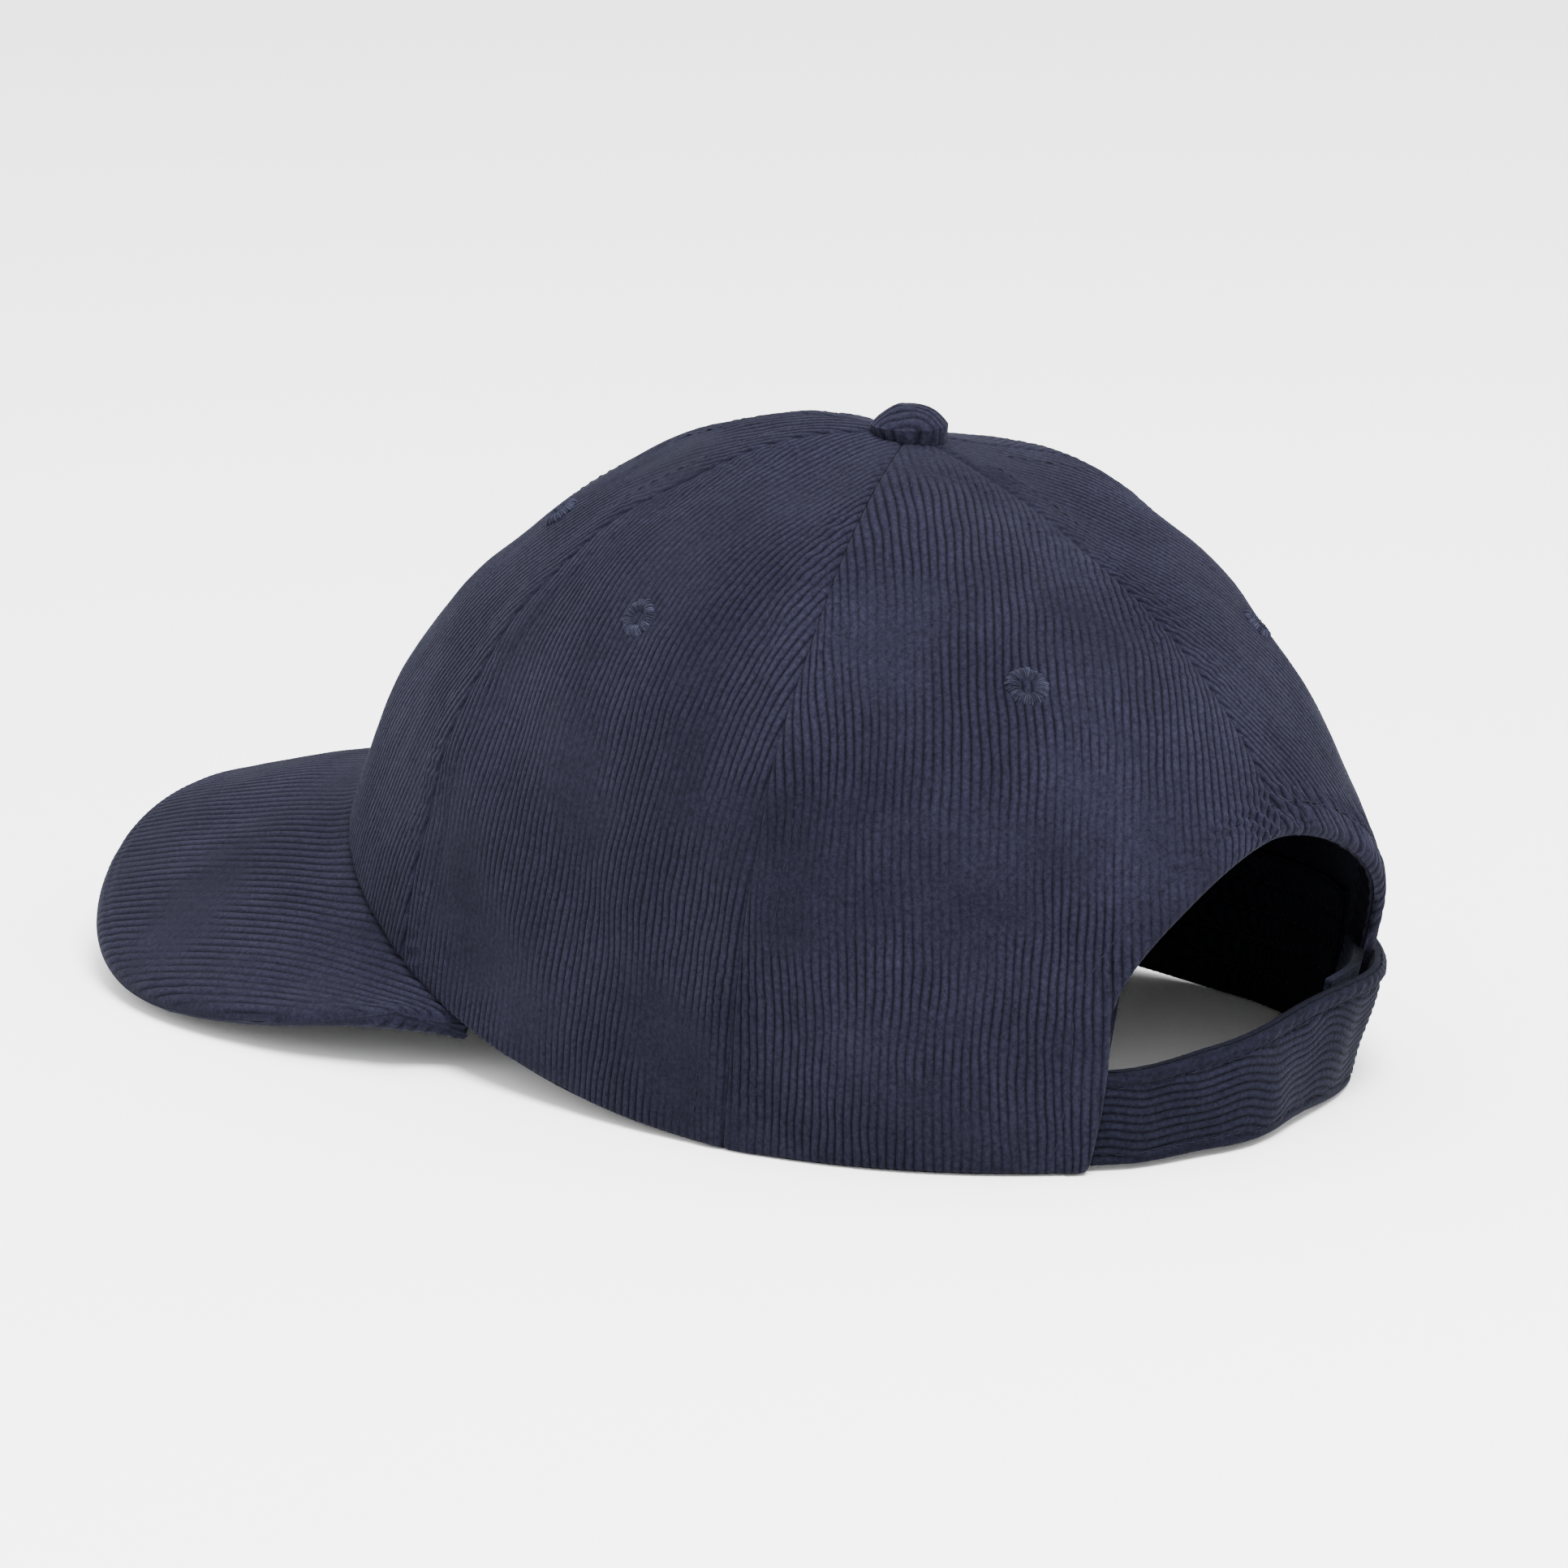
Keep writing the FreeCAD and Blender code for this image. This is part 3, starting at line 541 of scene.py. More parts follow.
# ---------------- stitches
def stitches(name, rows, pitch, share, radius, body="crown"):
    """Short lengths of thread that dip into the cloth; rows are (line, normals) pairs."""
    points, faces = [], []
    rings, sides = 5, 6
    count = 0
    for line, normals in rows:
        run = lengths(line)
        starts = np.arange(0.4, run[-1] - pitch, pitch)
        f = np.linspace(0.0, 1.0, rings)
        at = starts[:, None] + f * pitch * share
        centre = np.stack([np.interp(at, run, line[:, k]) for k in range(3)], -1)
        normal = unit(np.stack([np.interp(at, run, normals[:, k]) for k in range(3)], -1))
        way = unit(centre[:, -1:] - centre[:, :1])
        side = unit(np.cross(way, normal))
        centre = centre + normal * (radius * (1.5 * np.sin(np.pi * f) - 0.5))[None, :, None]
        turn = np.arange(sides) * 2.0 * np.pi / sides
        thick = radius * (0.45 + 0.55 * np.sin(np.pi * f))[None, :, None, None]
        around = (side[:, :, None] * np.cos(turn)[:, None] + normal[:, :, None] * np.sin(turn)[:, None])
        points.append((centre[:, :, None] + around * thick).reshape(-1, 3))
        for k in range(len(starts)):
            base = count + k * rings * sides
            faces += tube_faces(rings, sides, base)
            faces.append(tuple(base + s for s in reversed(range(sides))))
            faces.append(tuple(base + (rings - 1) * sides + s for s in range(sides)))
        count += len(starts) * rings * sides
    obj = make_object(name, np.concatenate(points), faces, THREAD, body=body)
    return obj


def beside_seam(seam, offset, t_low, t_high=0.9):
    t = np.linspace(t_low, t_high, 220)
    angle = seam_angle(SEAMS[seam], t)
    step = 0.01
    stretch = np.linalg.norm(outer(angle + step, t) - outer(angle - step, t), axis=1) / (2 * step)
    line, normal = cloth(angle + offset / stretch, t, (seam,), seam == "back")[:2]
    return line + normal * 0.04, normal


def above_arch(height):
    """t of the back seam at that height over the rear opening."""
    return float(on_back(np.zeros(1), np.full(1, ARCH_TOP + height))[1][0])


def beside_arch(gap):
    """Angle and t along the rear opening, at that distance outside its edge."""
    s = np.linspace(0.985, -0.985, 500)
    x, z = arch_point(s)
    run_x, run_z = np.gradient(x), np.gradient(z)
    size = np.hypot(run_x, run_z)
    return on_back(x + run_z / size * gap, np.maximum(z - run_x / size * gap, 1.0))


def build_topstitching():
    for seam in SEAMS:
        t_low = above_arch(0.0) + 0.05 if seam == "back" else 0.012
        rows = [beside_seam(seam, side * STITCH_LINE, t_low) for side in (-1, 1)]
        stitches("topstitch_" + seam, rows, STITCH_PITCH, 0.74, 0.13)
    row, normal = cloth(*beside_arch(ARCH_ROW), ("back",), True)[:2]
    stitches("topstitch_arch", [(row + normal * 0.08, normal)], STITCH_PITCH, 0.75, 0.14)


build_topstitching()


# ---------------- visor
VISOR_TIP, VISOR_WIDE_AT, VISOR_BACK = 180.1, 91.0, 62.0    # in front of the button
VISOR_HALF = 77.5           # half width at the widest line
VISOR_ROUND = 2.3           # power of the superellipse between widest line and tip
VISOR_TAPER = 0.0069        # how it narrows behind the widest line, per millimetre squared
VISOR_LOW = 2.4             # height of the middle layer along the sides
VISOR_ARCH, VISOR_ARCH_POWER = 19.8, 3.6    # rise of the tip above that
VISOR_RISE, VISOR_RISE_AT = 0.0015, 140.0   # climb of the sides, and where it starts
VISOR_END = 65.0            # the root runs this many degrees each side of the front
VISOR_INSET, VISOR_DROP = 3.0, 3.25         # hem line to the root of the middle layer
VISOR_BOW = 6.0             # four times the swell of the middle above the ruled surface
VISOR_THICK = 2.2           # of one side, from the middle layer out
VISOR_RIM = 4.5             # width of the rounded edge
VISOR_SEAT = 1.5            # the top cover climbs this far where it meets the crown
BOARD_TOP = 1.0
VISOR_SKIP = (2, 3)         # the hidden face of each cover is that much coarser


def visor_edge(count):
    """Outer edge of the visor, evenly spaced: a superellipse, then a slow taper."""
    turn = np.linspace(0.0, np.pi / 2.0, 900)
    ahead = np.maximum(np.cos(turn), 0.0)
    back = np.linspace(0.0, VISOR_WIDE_AT - VISOR_BACK, 300)[1:]
    x = np.concatenate([VISOR_HALF * np.sin(turn), VISOR_HALF - VISOR_TAPER * back ** 2])
    y = np.concatenate([-VISOR_WIDE_AT - (VISOR_TIP - VISOR_WIDE_AT) * ahead ** (2.0 / VISOR_ROUND),
                        back - VISOR_WIDE_AT])
    z = VISOR_LOW + VISOR_RISE * np.maximum(y + VISOR_RISE_AT, 0.0) ** 2
    z[:len(turn)] += VISOR_ARCH * ahead ** VISOR_ARCH_POWER
    half = np.stack([x, y, z], -1)
    whole = np.concatenate([half[:0:-1] * np.array([-1.0, 1.0, 1.0]), half])
    run = lengths(whole)
    even = np.linspace(0.0, run[-1], count)
    return np.stack([np.interp(even, run, whole[:, k]) for k in range(3)], -1)


EDGE_LINE = visor_edge(401)


def visor_point(a, s):
    """Middle layer of the visor: a runs across from -1 to 1, s from the crown to the edge."""
    place = (a + 1.0) / 2.0 * (len(EDGE_LINE) - 1)
    index = np.arange(len(EDGE_LINE))
    rim = np.stack([np.interp(place, index, EDGE_LINE[:, k]) for k in range(3)], -1)
    angle = np.radians(VISOR_END) * a
    zero = np.zeros_like(a)
    level = outward(angle, zero) * np.array([1.0, 1.0, 0.0])
    root = outer(angle, zero) - unit(level) * VISOR_INSET - UP * VISOR_DROP
    bow = VISOR_BOW * s * (1.0 - s) * (1.0 - a ** 4)
    return root * (1.0 - s)[..., None] + rim * s[..., None] + UP * bow[..., None]


def visor_height(x, y):
    """Height of the middle layer over x, y, by Newton's method on visor_point."""
    a, s = np.clip(x / 74.0, -0.98, 0.98), np.clip((-60.0 - y) / 120.0 + 0.2, 0.02, 1.0)
    step = 1e-4
    for _ in range(14):
        here = visor_point(a, s)
        da = (visor_point(a + step, s) - here) / step
        ds = (visor_point(a, s + step) - here) / step
        miss_x, miss_y = x - here[..., 0], y - here[..., 1]
        det = da[..., 0] * ds[..., 1] - da[..., 1] * ds[..., 0]
        det = np.where(np.abs(det) < 1e-3, 1e-3, det)
        a = np.clip(a + np.clip((miss_x * ds[..., 1] - miss_y * ds[..., 0]) / det, -0.2, 0.2), -1, 1)
        s = np.clip(s + np.clip((miss_y * da[..., 0] - miss_x * da[..., 1]) / det, -0.2, 0.2), -0.02, 1)
    return visor_point(a, s)[..., 2]


def visor_grid():
    """Columns that run straight back beside the visor's wales, from its edge to the crown."""
    step = PITCH / COLUMNS_PER_WALE
    widest = np.abs(EDGE_LINE[:, 0]).max() - 0.015
    half = math.floor(widest / step) * step
    x = np.concatenate([[-widest], np.arange(-half, half + step / 2, step), [widest]])
    across = np.linspace(1.0, -1.0, 401)
    ring = np.concatenate([EDGE_LINE, visor_point(across, np.zeros_like(across)), EDGE_LINE[:1]])[:, :2]
    low, high = np.full(len(x), 1e3), np.full(len(x), -1e3)
    for start, end in zip(ring[:-1], ring[1:]):
        hit = (np.minimum(start[0], end[0]) <= x) & (x <= np.maximum(start[0], end[0]))
        if start[0] == end[0] or not hit.any():
            continue
        y = start[1] + (end[1] - start[1]) * (x[hit] - start[0]) / (end[0] - start[0])
        low[hit], high[hit] = np.minimum(low[hit], y), np.maximum(high[hit], y)
    rim = np.array([0.0, 0.12, 0.35, 0.7, 1.1, 1.6, 2.1, 2.7])
    middle = np.linspace(0.0, 1.0, 89)[1:-1]
    y = np.empty((len(x), len(rim) * 2 + len(middle)))
    for k in range(len(x)):
        span = high[k] - low[k]
        ends = rim * min(1.0, span / 12.0)
        body = ends[-1] + (span - 2 * ends[-1]) * middle
        y[k] = low[k] + np.concatenate([ends, body, span - ends[::-1]])
    return np.broadcast_to(x[:, None], y.shape), y


def build_visor():
    x, y = visor_grid()
    middle = np.stack([x, y, visor_height(x, y)], -1)
    normal = unit(np.cross(np.gradient(middle, axis=0) + 1e-6, np.gradient(middle, axis=1)))
    steady = unit(np.stack([0 * x, 0 * x, np.ones_like(x)], -1) + 3.0 * normal)
    across = np.linspace(-1.0, 1.0, 301)
    root_line = visor_point(across, np.zeros_like(across))
    seat = VISOR_SEAT * hump(near(middle, root_line)[0], 0.0, 5.0)
    corners = visor_point(np.array([-1.0, 1.0]), np.zeros(2))
    side = np.linspace(0.0, 1.0, 30)[:, None]
    rim_line = np.concatenate([corners[0] + (EDGE_LINE[0] - corners[0]) * side[:-1], EDGE_LINE,
                               EDGE_LINE[-1] + (corners[1] - EDGE_LINE[-1]) * side[1:]])
    gap = near(middle, rim_line)[0]
    share = 1.0 - np.clip(gap / VISOR_RIM, 0.0, 1.0)
    height = VISOR_THICK * np.sqrt(1.0 - share ** 2)
    rib = wale_height(x) * pile(middle)
    full = ease(gap, 0.0, 0.8)
    soft = 0.12 * waves(middle, 26.0, 51) * ease(gap, 1.0, 9.0)
    seam = 0.22 * hump(gap, 3.4, 0.6)
    for sign, name in ((1.0, "visor_top_cover"), (-1.0, "visor_under_cover")):
        face = height + rib * 0.3 * full + (soft - seam) * full + (seat if sign > 0 else 0.0)
        inner = np.minimum(BOARD_TOP, 0.45 * height) - 0.03
        outside = middle + steady * (sign * face)[..., None]
        inside = middle + steady * (sign * inner)[..., None]
        points, faces = closed_slab(outside, inside, VISOR_SKIP)
        if sign < 0:
            faces = [loop[::-1] for loop in faces]
        tone = MEAN_TONE + (ridge_tone(x, middle) - MEAN_TONE) * ease(gap, 0.0, 0.9)
        hidden = tone[::VISOR_SKIP[0], ::VISOR_SKIP[1]]
        ridge = np.concatenate([tone.ravel(), hidden.ravel()])
        obj = make_object(name + "_cloth", points, faces, CORD, ridge)
        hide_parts(name)


build_visor()


# ---------------- button and eyelets
BUTTON_SEAT, BUTTON_RADIUS, BUTTON_RISE = 1.1, 6.9, 3.6
BUTTON_SKIRT = 1.6          # height of the rim's straight part
BUTTON_GRAIN = 32.0         # bearing of the button's wales, in degrees
EYELET_PLACE = 0.535        # on the crown's profile
EYELET_RADIUS, EYELET_HOLE = 3.95, 0.55
EYELET_THREADS = 44


def ring_mesh(name, points, material, ridge):
    """Closed skin over rings of points, with a middle point at each end."""
    rings, around = points.shape[:2]
    flat = np.concatenate([points.reshape(-1, 3), points[:1].mean(1), points[-1:].mean(1)])
    faces = tube_faces(rings, around)
    first, last = rings * around, rings * around + 1
    for j in range(around):
        k = (j + 1) % around
        faces.append((first, k, j))
        faces.append((last, (rings - 1) * around + j, (rings - 1) * around + k))
    ridge = np.concatenate([ridge.ravel(), ridge[0, :1], ridge[-1, :1]])
    return make_object(name, flat, faces, material, ridge)


def build_button():
    seat, radius, rise = CROWN_HEIGHT + BUTTON_SEAT, BUTTON_RADIUS, BUTTON_RISE
    turn = np.linspace(0.0, 2.0 * np.pi, 181)[:-1]
    # height of the crown just under the rim, all the way round
    around = np.arctan2(np.cos(turn), -np.sin(turn))
    t = np.full_like(around, 0.96)
    for _ in range(12):
        t = t + (np.hypot(*outer(around, t)[:, :2].T) - radius) / 170.0
    ground = outer(around, t)[:, 2] + 0.1 - seat
    # outline from the underside, round the rim and over the dome, as radius and height
    side = np.linspace(0.0, 1.0, 13)[:, None]
    arc = np.linspace(0.0, 1.0, 34)[:-1]
    ball = (radius ** 2 + rise ** 2) / (2 * rise)
    reach = (np.arcsin(radius / ball) * (1.0 - arc ** 0.9))[:, None]
    low = ground + (BUTTON_SKIRT - ground) * side
    under_r, under_z = np.array([[2.0], [4.2], [5.6]]), np.array([[0.5], [0.3], [0.05]])
    rim_r = 6.1 + 0.8 * np.sin(side * np.pi / 2) ** 0.8
    dome_z = BUTTON_SKIRT + ball * np.cos(reach) - ball + rise
    r = np.concatenate([under_r + 0 * turn, rim_r + 0 * turn, ball * np.sin(reach) + 0 * turn])
    z = np.concatenate([ground + under_z, low, dome_z + 0 * turn])
    spin = math.radians(BUTTON_GRAIN)
    flat = np.stack([r * np.cos(turn), r * np.sin(turn)], -1)
    across = flat[..., 0] * math.cos(spin) + flat[..., 1] * math.sin(spin)
    points = np.concatenate([flat, (seat + z)[..., None]], -1)
    middle = np.array([0.0, 0.0, seat - 2.0])
    normal = unit(points - middle)
    # the cloth is gathered round the rim and pulled under
    rim = 1.0 - ease(z, -0.2, 2.0)
    gathers = 0.16 * rim * np.sin(21.0 * turn + 1.4 * np.sin(5.0 * turn)) * ease(r, 5.0, 6.6)
    rib = wale_height(across + 0.25 * waves(points, 7.0, 61))
    lift = 0.26 * rib * ease(r, 1.0, 2.0) + gathers - 0.2 + 0.1 * waves(points, 6.0, 62)
    obj = ring_mesh("button_cloth", points + normal * lift[..., None], CORD, rib)
    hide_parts("button_cover")


def build_eyelet(name, low, high, seed):
    t = np.array([EYELET_PLACE])
    angle = (seam_angle(low, t) + seam_angle(high, t)) / 2.0
    place, normal = cloth(angle, t)[:2]
    place, normal = place[0], normal[0]
    across = unit(np.cross(UP, normal))
    up = np.cross(normal, across)
    threads, per = EYELET_THREADS, 7
    turn = np.linspace(0.0, 2.0 * np.pi, threads * per + 1)[:-1]
    rng = np.random.default_rng(seed)
    uneven = np.repeat(rng.uniform(-0.3, 0.25, threads), per)
    bulge = np.repeat(rng.uniform(-0.08, 0.1, threads), per)
    shade = np.repeat(rng.uniform(0.45, 1.0, threads), per)
    strand = np.abs(np.sin(threads * turn / 2.0)) ** 0.7
    # radius and height from the back, through the hole and out over the ring
    f = np.linspace(0.0, 1.0, 15)
    r = np.concatenate([[3.0, 2.4, 1.4, 0.8, 0.5], EYELET_HOLE + (EYELET_RADIUS - EYELET_HOLE) * f])
    ring_z = 0.75 * np.sin(np.pi * f ** 1.3) - 0.7 * (1.0 - f) ** 2
    z = np.concatenate([[-1.7, -2.0, -2.0, -1.7, -1.0], ring_z])
    outer_part = np.concatenate([np.zeros(5), f])[:, None]
    radius = r[:, None] + uneven * outer_part ** 2
    height = z[:, None] + (0.26 * strand + bulge) * np.sin(np.pi * np.clip(outer_part, 0.0, 0.97))
    height = np.where(outer_part >= 0.999, -0.25, height)
    wobble = 1.0 + 0.03 * np.sin(2.0 * turn + seed)
    points = (place + across * (radius * wobble * np.cos(turn))[..., None]
              + up * (radius * wobble * np.sin(turn))[..., None] + normal * height[..., None])
    # painted shade: darker between the strands and down into the hole; the spread from thread to thread
    # is random
    tone = (0.35 + 0.65 * strand) * shade * (0.1 + 0.9 * ease(radius, 0.6, 1.7))
    obj = ring_mesh("embroidered_" + name, points[::-1], EYELET_THREAD, tone[::-1])
    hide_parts(name)


build_button()
panels = (("front", SEAM_FRONT, SEAM_A), ("side", SEAM_A, SEAM_B), ("back", SEAM_B, SEAM_BACK))
for number, (part, low, high) in enumerate(panels):
    build_eyelet("eyelet_" + part + "_left", low, high, 70 + number)
    build_eyelet("eyelet_" + part + "_right", mirrored(low), mirrored(high), 80 + number)


# ---------------- inside the crown
BAND_HEIGHT, BAND_LOW, BAND_END = 32.0, 0.5, 132.5      # BAND_END in degrees from the front
BAND_OUTSIDE, BAND_INSIDE = 1.62, 2.7                   # depths below the crown's outer face
BAND_ROWS = (6.5, 12.8, 19.1, 25.4)                     # heights of its stitched rows
TAPE_HALF, TAPE_TOP = 5.5, 0.88                         # seam tapes; the top is on the profile
FACING_START, FACING_END = 0.4, 10.4                    # from the edge of the rear opening


def slab(name, outside, inside, material, nodes, body="crown", ridge=None):
    points, faces = closed_slab(outside, inside)
    obj = make_object(name, points, faces, material, ridge, body)
    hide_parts(*nodes)
    return obj


def build_sweatband():
    around = np.radians(np.linspace(-BAND_END, BAND_END, 481))
    heights = np.linspace(BAND_LOW, BAND_HEIGHT, 64)
    angle, height = np.meshgrid(around, heights, indexing="ij")
    t = rise_for(angle, height)
    run = lengths(outer(angle[:, 0], t[:, 0]))[:, None]
    end = np.minimum(run, run[-1] - run)
    puff = np.zeros(angle.shape)
    for row in BAND_ROWS:
        puff = puff - 0.42 * hump(height, row, 0.9)
    spots = outer(angle, t)
    puff = puff + 0.06 * np.sin(2 * np.pi * (run + 0.8 * height) / 5.3 + waves(spots, 15.0, 91))
    puff = puff + 0.3 * hump(end, 2.0, 1.4) - 0.3 * hump(end, 4.2, 0.6)
    puff = puff + 0.35 * hump(height, BAND_HEIGHT - 1.0, 1.3)
    puff = puff - 0.5 * (1 - ease(BAND_HEIGHT - height, 0.0, 0.9))
    inside, normal = under(angle, t, BAND_INSIDE + puff)
    outside = under(angle, t, BAND_OUTSIDE)[0]
    slab("sweatband_cloth", outside, inside, BAND, ["sweatband"])
    rows = []
    for row in BAND_ROWS:
        k = int(np.abs(heights - row).argmin())
        rows.append((inside[6:-6, k] - normal[6:-6, k] * 0.05, -normal[6:-6, k]))
    for k in (12, -13):
        rows.append((inside[k, 3:-3] - normal[k, 3:-3] * 0.05, -normal[k, 3:-3]))
    stitches("sweatband_stitching", rows, 3.2, 0.75, 0.15)


def build_tape(seam, t_low):
    """One seam's tape; gives back the rows of stitches that hold it."""
    t = np.linspace(t_low, TAPE_TOP, 120)[None, :]
    offset = np.linspace(-TAPE_HALF, TAPE_HALF, 25)[:, None]
    middle = seam_angle(SEAMS[seam], t)
    stretch = np.linalg.norm(outer(middle + 0.01, t) - outer(middle - 0.01, t), axis=-1) / 0.02
    angle = middle + offset / stretch
    t = np.broadcast_to(t, angle.shape)
    row = 0.12 * hump(np.abs(offset), 3.9, 0.5)
    edge = 0.25 * (1 - ease(TAPE_HALF - np.abs(offset), 0.0, 0.5))
    ripple = 0.1 * np.sin(t * 240.0) * hump(offset, 0, 3.0)
    inside, normal = under(angle, t, TAPE_DEPTH - row - edge + ripple)
    outside = under(angle, t, LINING_DEPTH)[0]
    slab("tape_" + seam, outside, inside, TWILL, ["seam_tape_" + seam])
    return [(inside[k] - normal[k] * 0.03, -normal[k]) for k in (3, 21)]


def build_tapes():
    rows = []
    for seam in SEAMS:
        if seam == "back":
            t_low = above_arch(11.0)
        else:
            t_low = float(rise_for(math.radians(SEAMS[seam][0]), BAND_HEIGHT + 1.0)) * 1.12
        rows += build_tape(seam, t_low)
    stitches("tape_stitching", rows, 3.0, 0.75, 0.13)


def build_facing():
    out = np.linspace(FACING_START, FACING_END, 21)
    grids = [beside_arch(gap) for gap in out]
    angle, t = np.stack([g[0] for g in grids], 1), np.stack([g[1] for g in grids], 1)
    ripple = 0.14 * np.sin(np.linspace(0, 260.0, angle.shape[0]))[:, None]
    roll = 0.4 * hump(out, 1.6, 1.3) - 0.15 * hump(out, 3.4, 0.5)
    roll = roll + 0.2 * hump(out, 8.8, 1.4) + ripple * 0.6
    inside, normal = under(angle, t, TAPE_DEPTH + roll)
    outside = under(angle, t, LINING_DEPTH)[0]
    slab("rear_facing", outside, inside, TWILL, ["arch_facing"])
    rows = [(inside[:, k] - normal[:, k] * 0.04, -normal[:, k]) for k in (6, 18)]
    stitches("facing_stitching", rows, 2.8, 0.75, 0.14)


# ---------------- closure
# bearings are in degrees from the front, depths below the crown's outer face
STRAP_ROOT, STRAP_HINGE, STRAP_PEEL, STRAP_TIP = 138.5, 149.0, 193.0, 226.0
STRAP_JOIN = 151.6                          # the cloth's two lengths meet here
STRAP_LEAVES, STRAP_LANDS = (149.5, 165.0), (180.0, 209.0)
STRAP_SEWN_DEPTH, STRAP_SPAN_DEPTH, STRAP_OUTSIDE = 2.15, 5.5, -2.5
STRAP_WIDTH_ROOT, STRAP_WIDTH_TIP, STRAP_LIFT = 18.0, 24.0, 0.6
STRAP_THICK, STRAP_ROLL = 1.9, 1.1
FLARE, FLARE_AT, FLARE_SPREAD = 3.2, 171.0, 16.0    # the lower edge stands out in the middle
TAB_SPAN, TAB_LEAVES = (195.5, 221.5), (190.0, 207.0)
TAB_SEWN_DEPTH, TAB_SPAN_DEPTH = 5.45, 3.3
TAB_HUG, TAB_HUG_SPAN = 0.6, (202.0, 206.0)         # the tab is drawn against the strap's end
LOOP_SPAN, HOOK_SPAN = (196.5, 211.0), (196.0, 209.0)
TAPE_INSET = 0.12                           # share of the width left bare each side of a tape


def strap_depth(degrees):
    sinks = (STRAP_SPAN_DEPTH - STRAP_SEWN_DEPTH) * ease(degrees, *STRAP_LEAVES)
    climbs = (STRAP_SPAN_DEPTH - STRAP_OUTSIDE) * ease(degrees, *STRAP_LANDS)
    return STRAP_SEWN_DEPTH + sinks - climbs


def tab_depth(degrees):
    return TAB_SEWN_DEPTH - TAB_SPAN_DEPTH * ease(degrees, *TAB_LEAVES)


def strap_width(degrees):
    share = (degrees - STRAP_ROOT) / (STRAP_TIP - STRAP_ROOT)
    return STRAP_WIDTH_ROOT + (STRAP_WIDTH_TIP - STRAP_WIDTH_ROOT) * ease(share, 0.0, 0.8)


def strap_cloth(start, end, count):
    degrees = np.linspace(start, end, count)[:, None]
    v = np.linspace(0.0, 1.0, 85)[None, :]
    width = strap_width(degrees)
    height = STRAP_LIFT + width * v
    angle = np.radians(degrees) + 0.0 * v
    t = rise_for(angle, height)
    depth = strap_depth(degrees) - FLARE * (1.0 - v) * hump(degrees, FLARE_AT, FLARE_SPREAD)
    run = np.radians(degrees) * 80.0
    spots = outer(angle, t)
    low, high = width * v, width * (1.0 - v)
    tip = (STRAP_TIP - degrees) * 1.4 + 0.0 * v
    twist = np.sin(2.0 * np.pi * (run + 0.9 * high) / 3.1 + 1.3 * waves(spots, 14.0, 101))
    rib = wale_height(low + 0.55 * waves(spots * np.array([1, 1, 0.3]), 15.0, 102))
    field = ease(high, 2.6, 3.6) * ease(low, 1.4, 2.4)
    creases = waves(spots * np.array([1, 1, 0.35]), 9.0, 103)
    lift = 0.3 * rib * (0.35 + 0.65 * field) + 0.18 * creases * field
    lift = lift + (0.5 + 0.16 * twist) * hump(high, 1.4, 1.5) - 0.4 * hump(high, 3.2, 0.6)
    lift = lift + 0.15 * hump(low, 0.9, 1.2) - 0.3 * hump(low, 2.4, 0.5)
    for gap in (low, high, tip):
        lift = lift - turned_under(gap, STRAP_ROLL) * 0.9
    outside, normal = under(angle, t, depth - lift)
    inside = under(angle, t, depth + STRAP_THICK)[0]
    tone = MEAN_TONE + (rib - MEAN_TONE) * (0.3 + 0.7 * field)
    return outside, inside, normal, tone


def strap_spot(degrees):
    angle = np.radians(np.array([degrees]))
    spot = crown(angle, rise_for(angle, 10.0), strap_depth(degrees) + np.zeros(1))
    return tuple(to_metres(spot)[0])


def build_strap():
    for name, start, end, count, bodies, hinge, nodes in (
            ("strap_cloth_root", STRAP_ROOT, STRAP_JOIN, 36, ("crown", "strap_base"), STRAP_HINGE,
             ("strap_root",)),
            ("strap_cloth_end", STRAP_JOIN, STRAP_TIP, 170, ("strap_base", "strap_end"), STRAP_PEEL,
             ("strap_base", "strap_base_lining", "strap_end", "strap_end_lining"))):
        outside, inside, normal, tone = strap_cloth(start, end, count)
        points, faces = closed_slab(outside, inside)
        ridge = np.concatenate([tone.ravel(), np.full(tone.size, 0.25)])
        obj = make_object(name, points, faces, SHADED_STRAP_CORD, ridge, None)
        flat_faces_at_ends(obj, *outside.shape[:2])
        strap_spot(hinge - 2.5)
        strap_spot(hinge + 2.5)
        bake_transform(obj)
        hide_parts(*nodes)
        width = strap_width(np.linspace(start, end, count))
        rows = []
        for gap, top in ((2.4, False), (3.2, True)):
            share = gap / width
            k = np.clip(np.round((1.0 - share if top else share) * 84).astype(int), 0, 84)
            line = outside[np.arange(count), k] + normal[np.arange(count), k] * 0.02
            rows.append((line, normal[np.arange(count), k]))
        thread = stitches(name + "_stitching", rows, 2.5, 0.78, 0.12, None)
        strap_spot(hinge - 2.5)
        strap_spot(hinge + 2.5)
        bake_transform(thread)


def flat_faces_at_ends(obj, rows, columns):
    """The cut where two lengths of strap meet must not round off the cloth's shading."""
    total = rows * columns
    ends = set(range(columns)) | set(range(total - columns, total))
    ends |= {k + total for k in ends}
    for face in obj.data.polygons:
        if all(v in ends for v in face.vertices):
            face.use_smooth = False
    for edge in obj.data.edges:
        if all(v in ends for v in edge.vertices):
            edge.use_edge_sharp = True


def closure_grid(span, inset):
    """Bearings, shares of the strap's width, and the crown's angle and t at each."""
    degrees = np.linspace(*span, 90)[:, None]
    v = inset + (1.0 - 2.0 * inset) * np.linspace(0.0, 1.0, 70)[None, :]
    angle = np.radians(degrees) + 0.0 * v
    return degrees, v, angle, rise_for(angle, STRAP_LIFT + strap_width(degrees) * v)


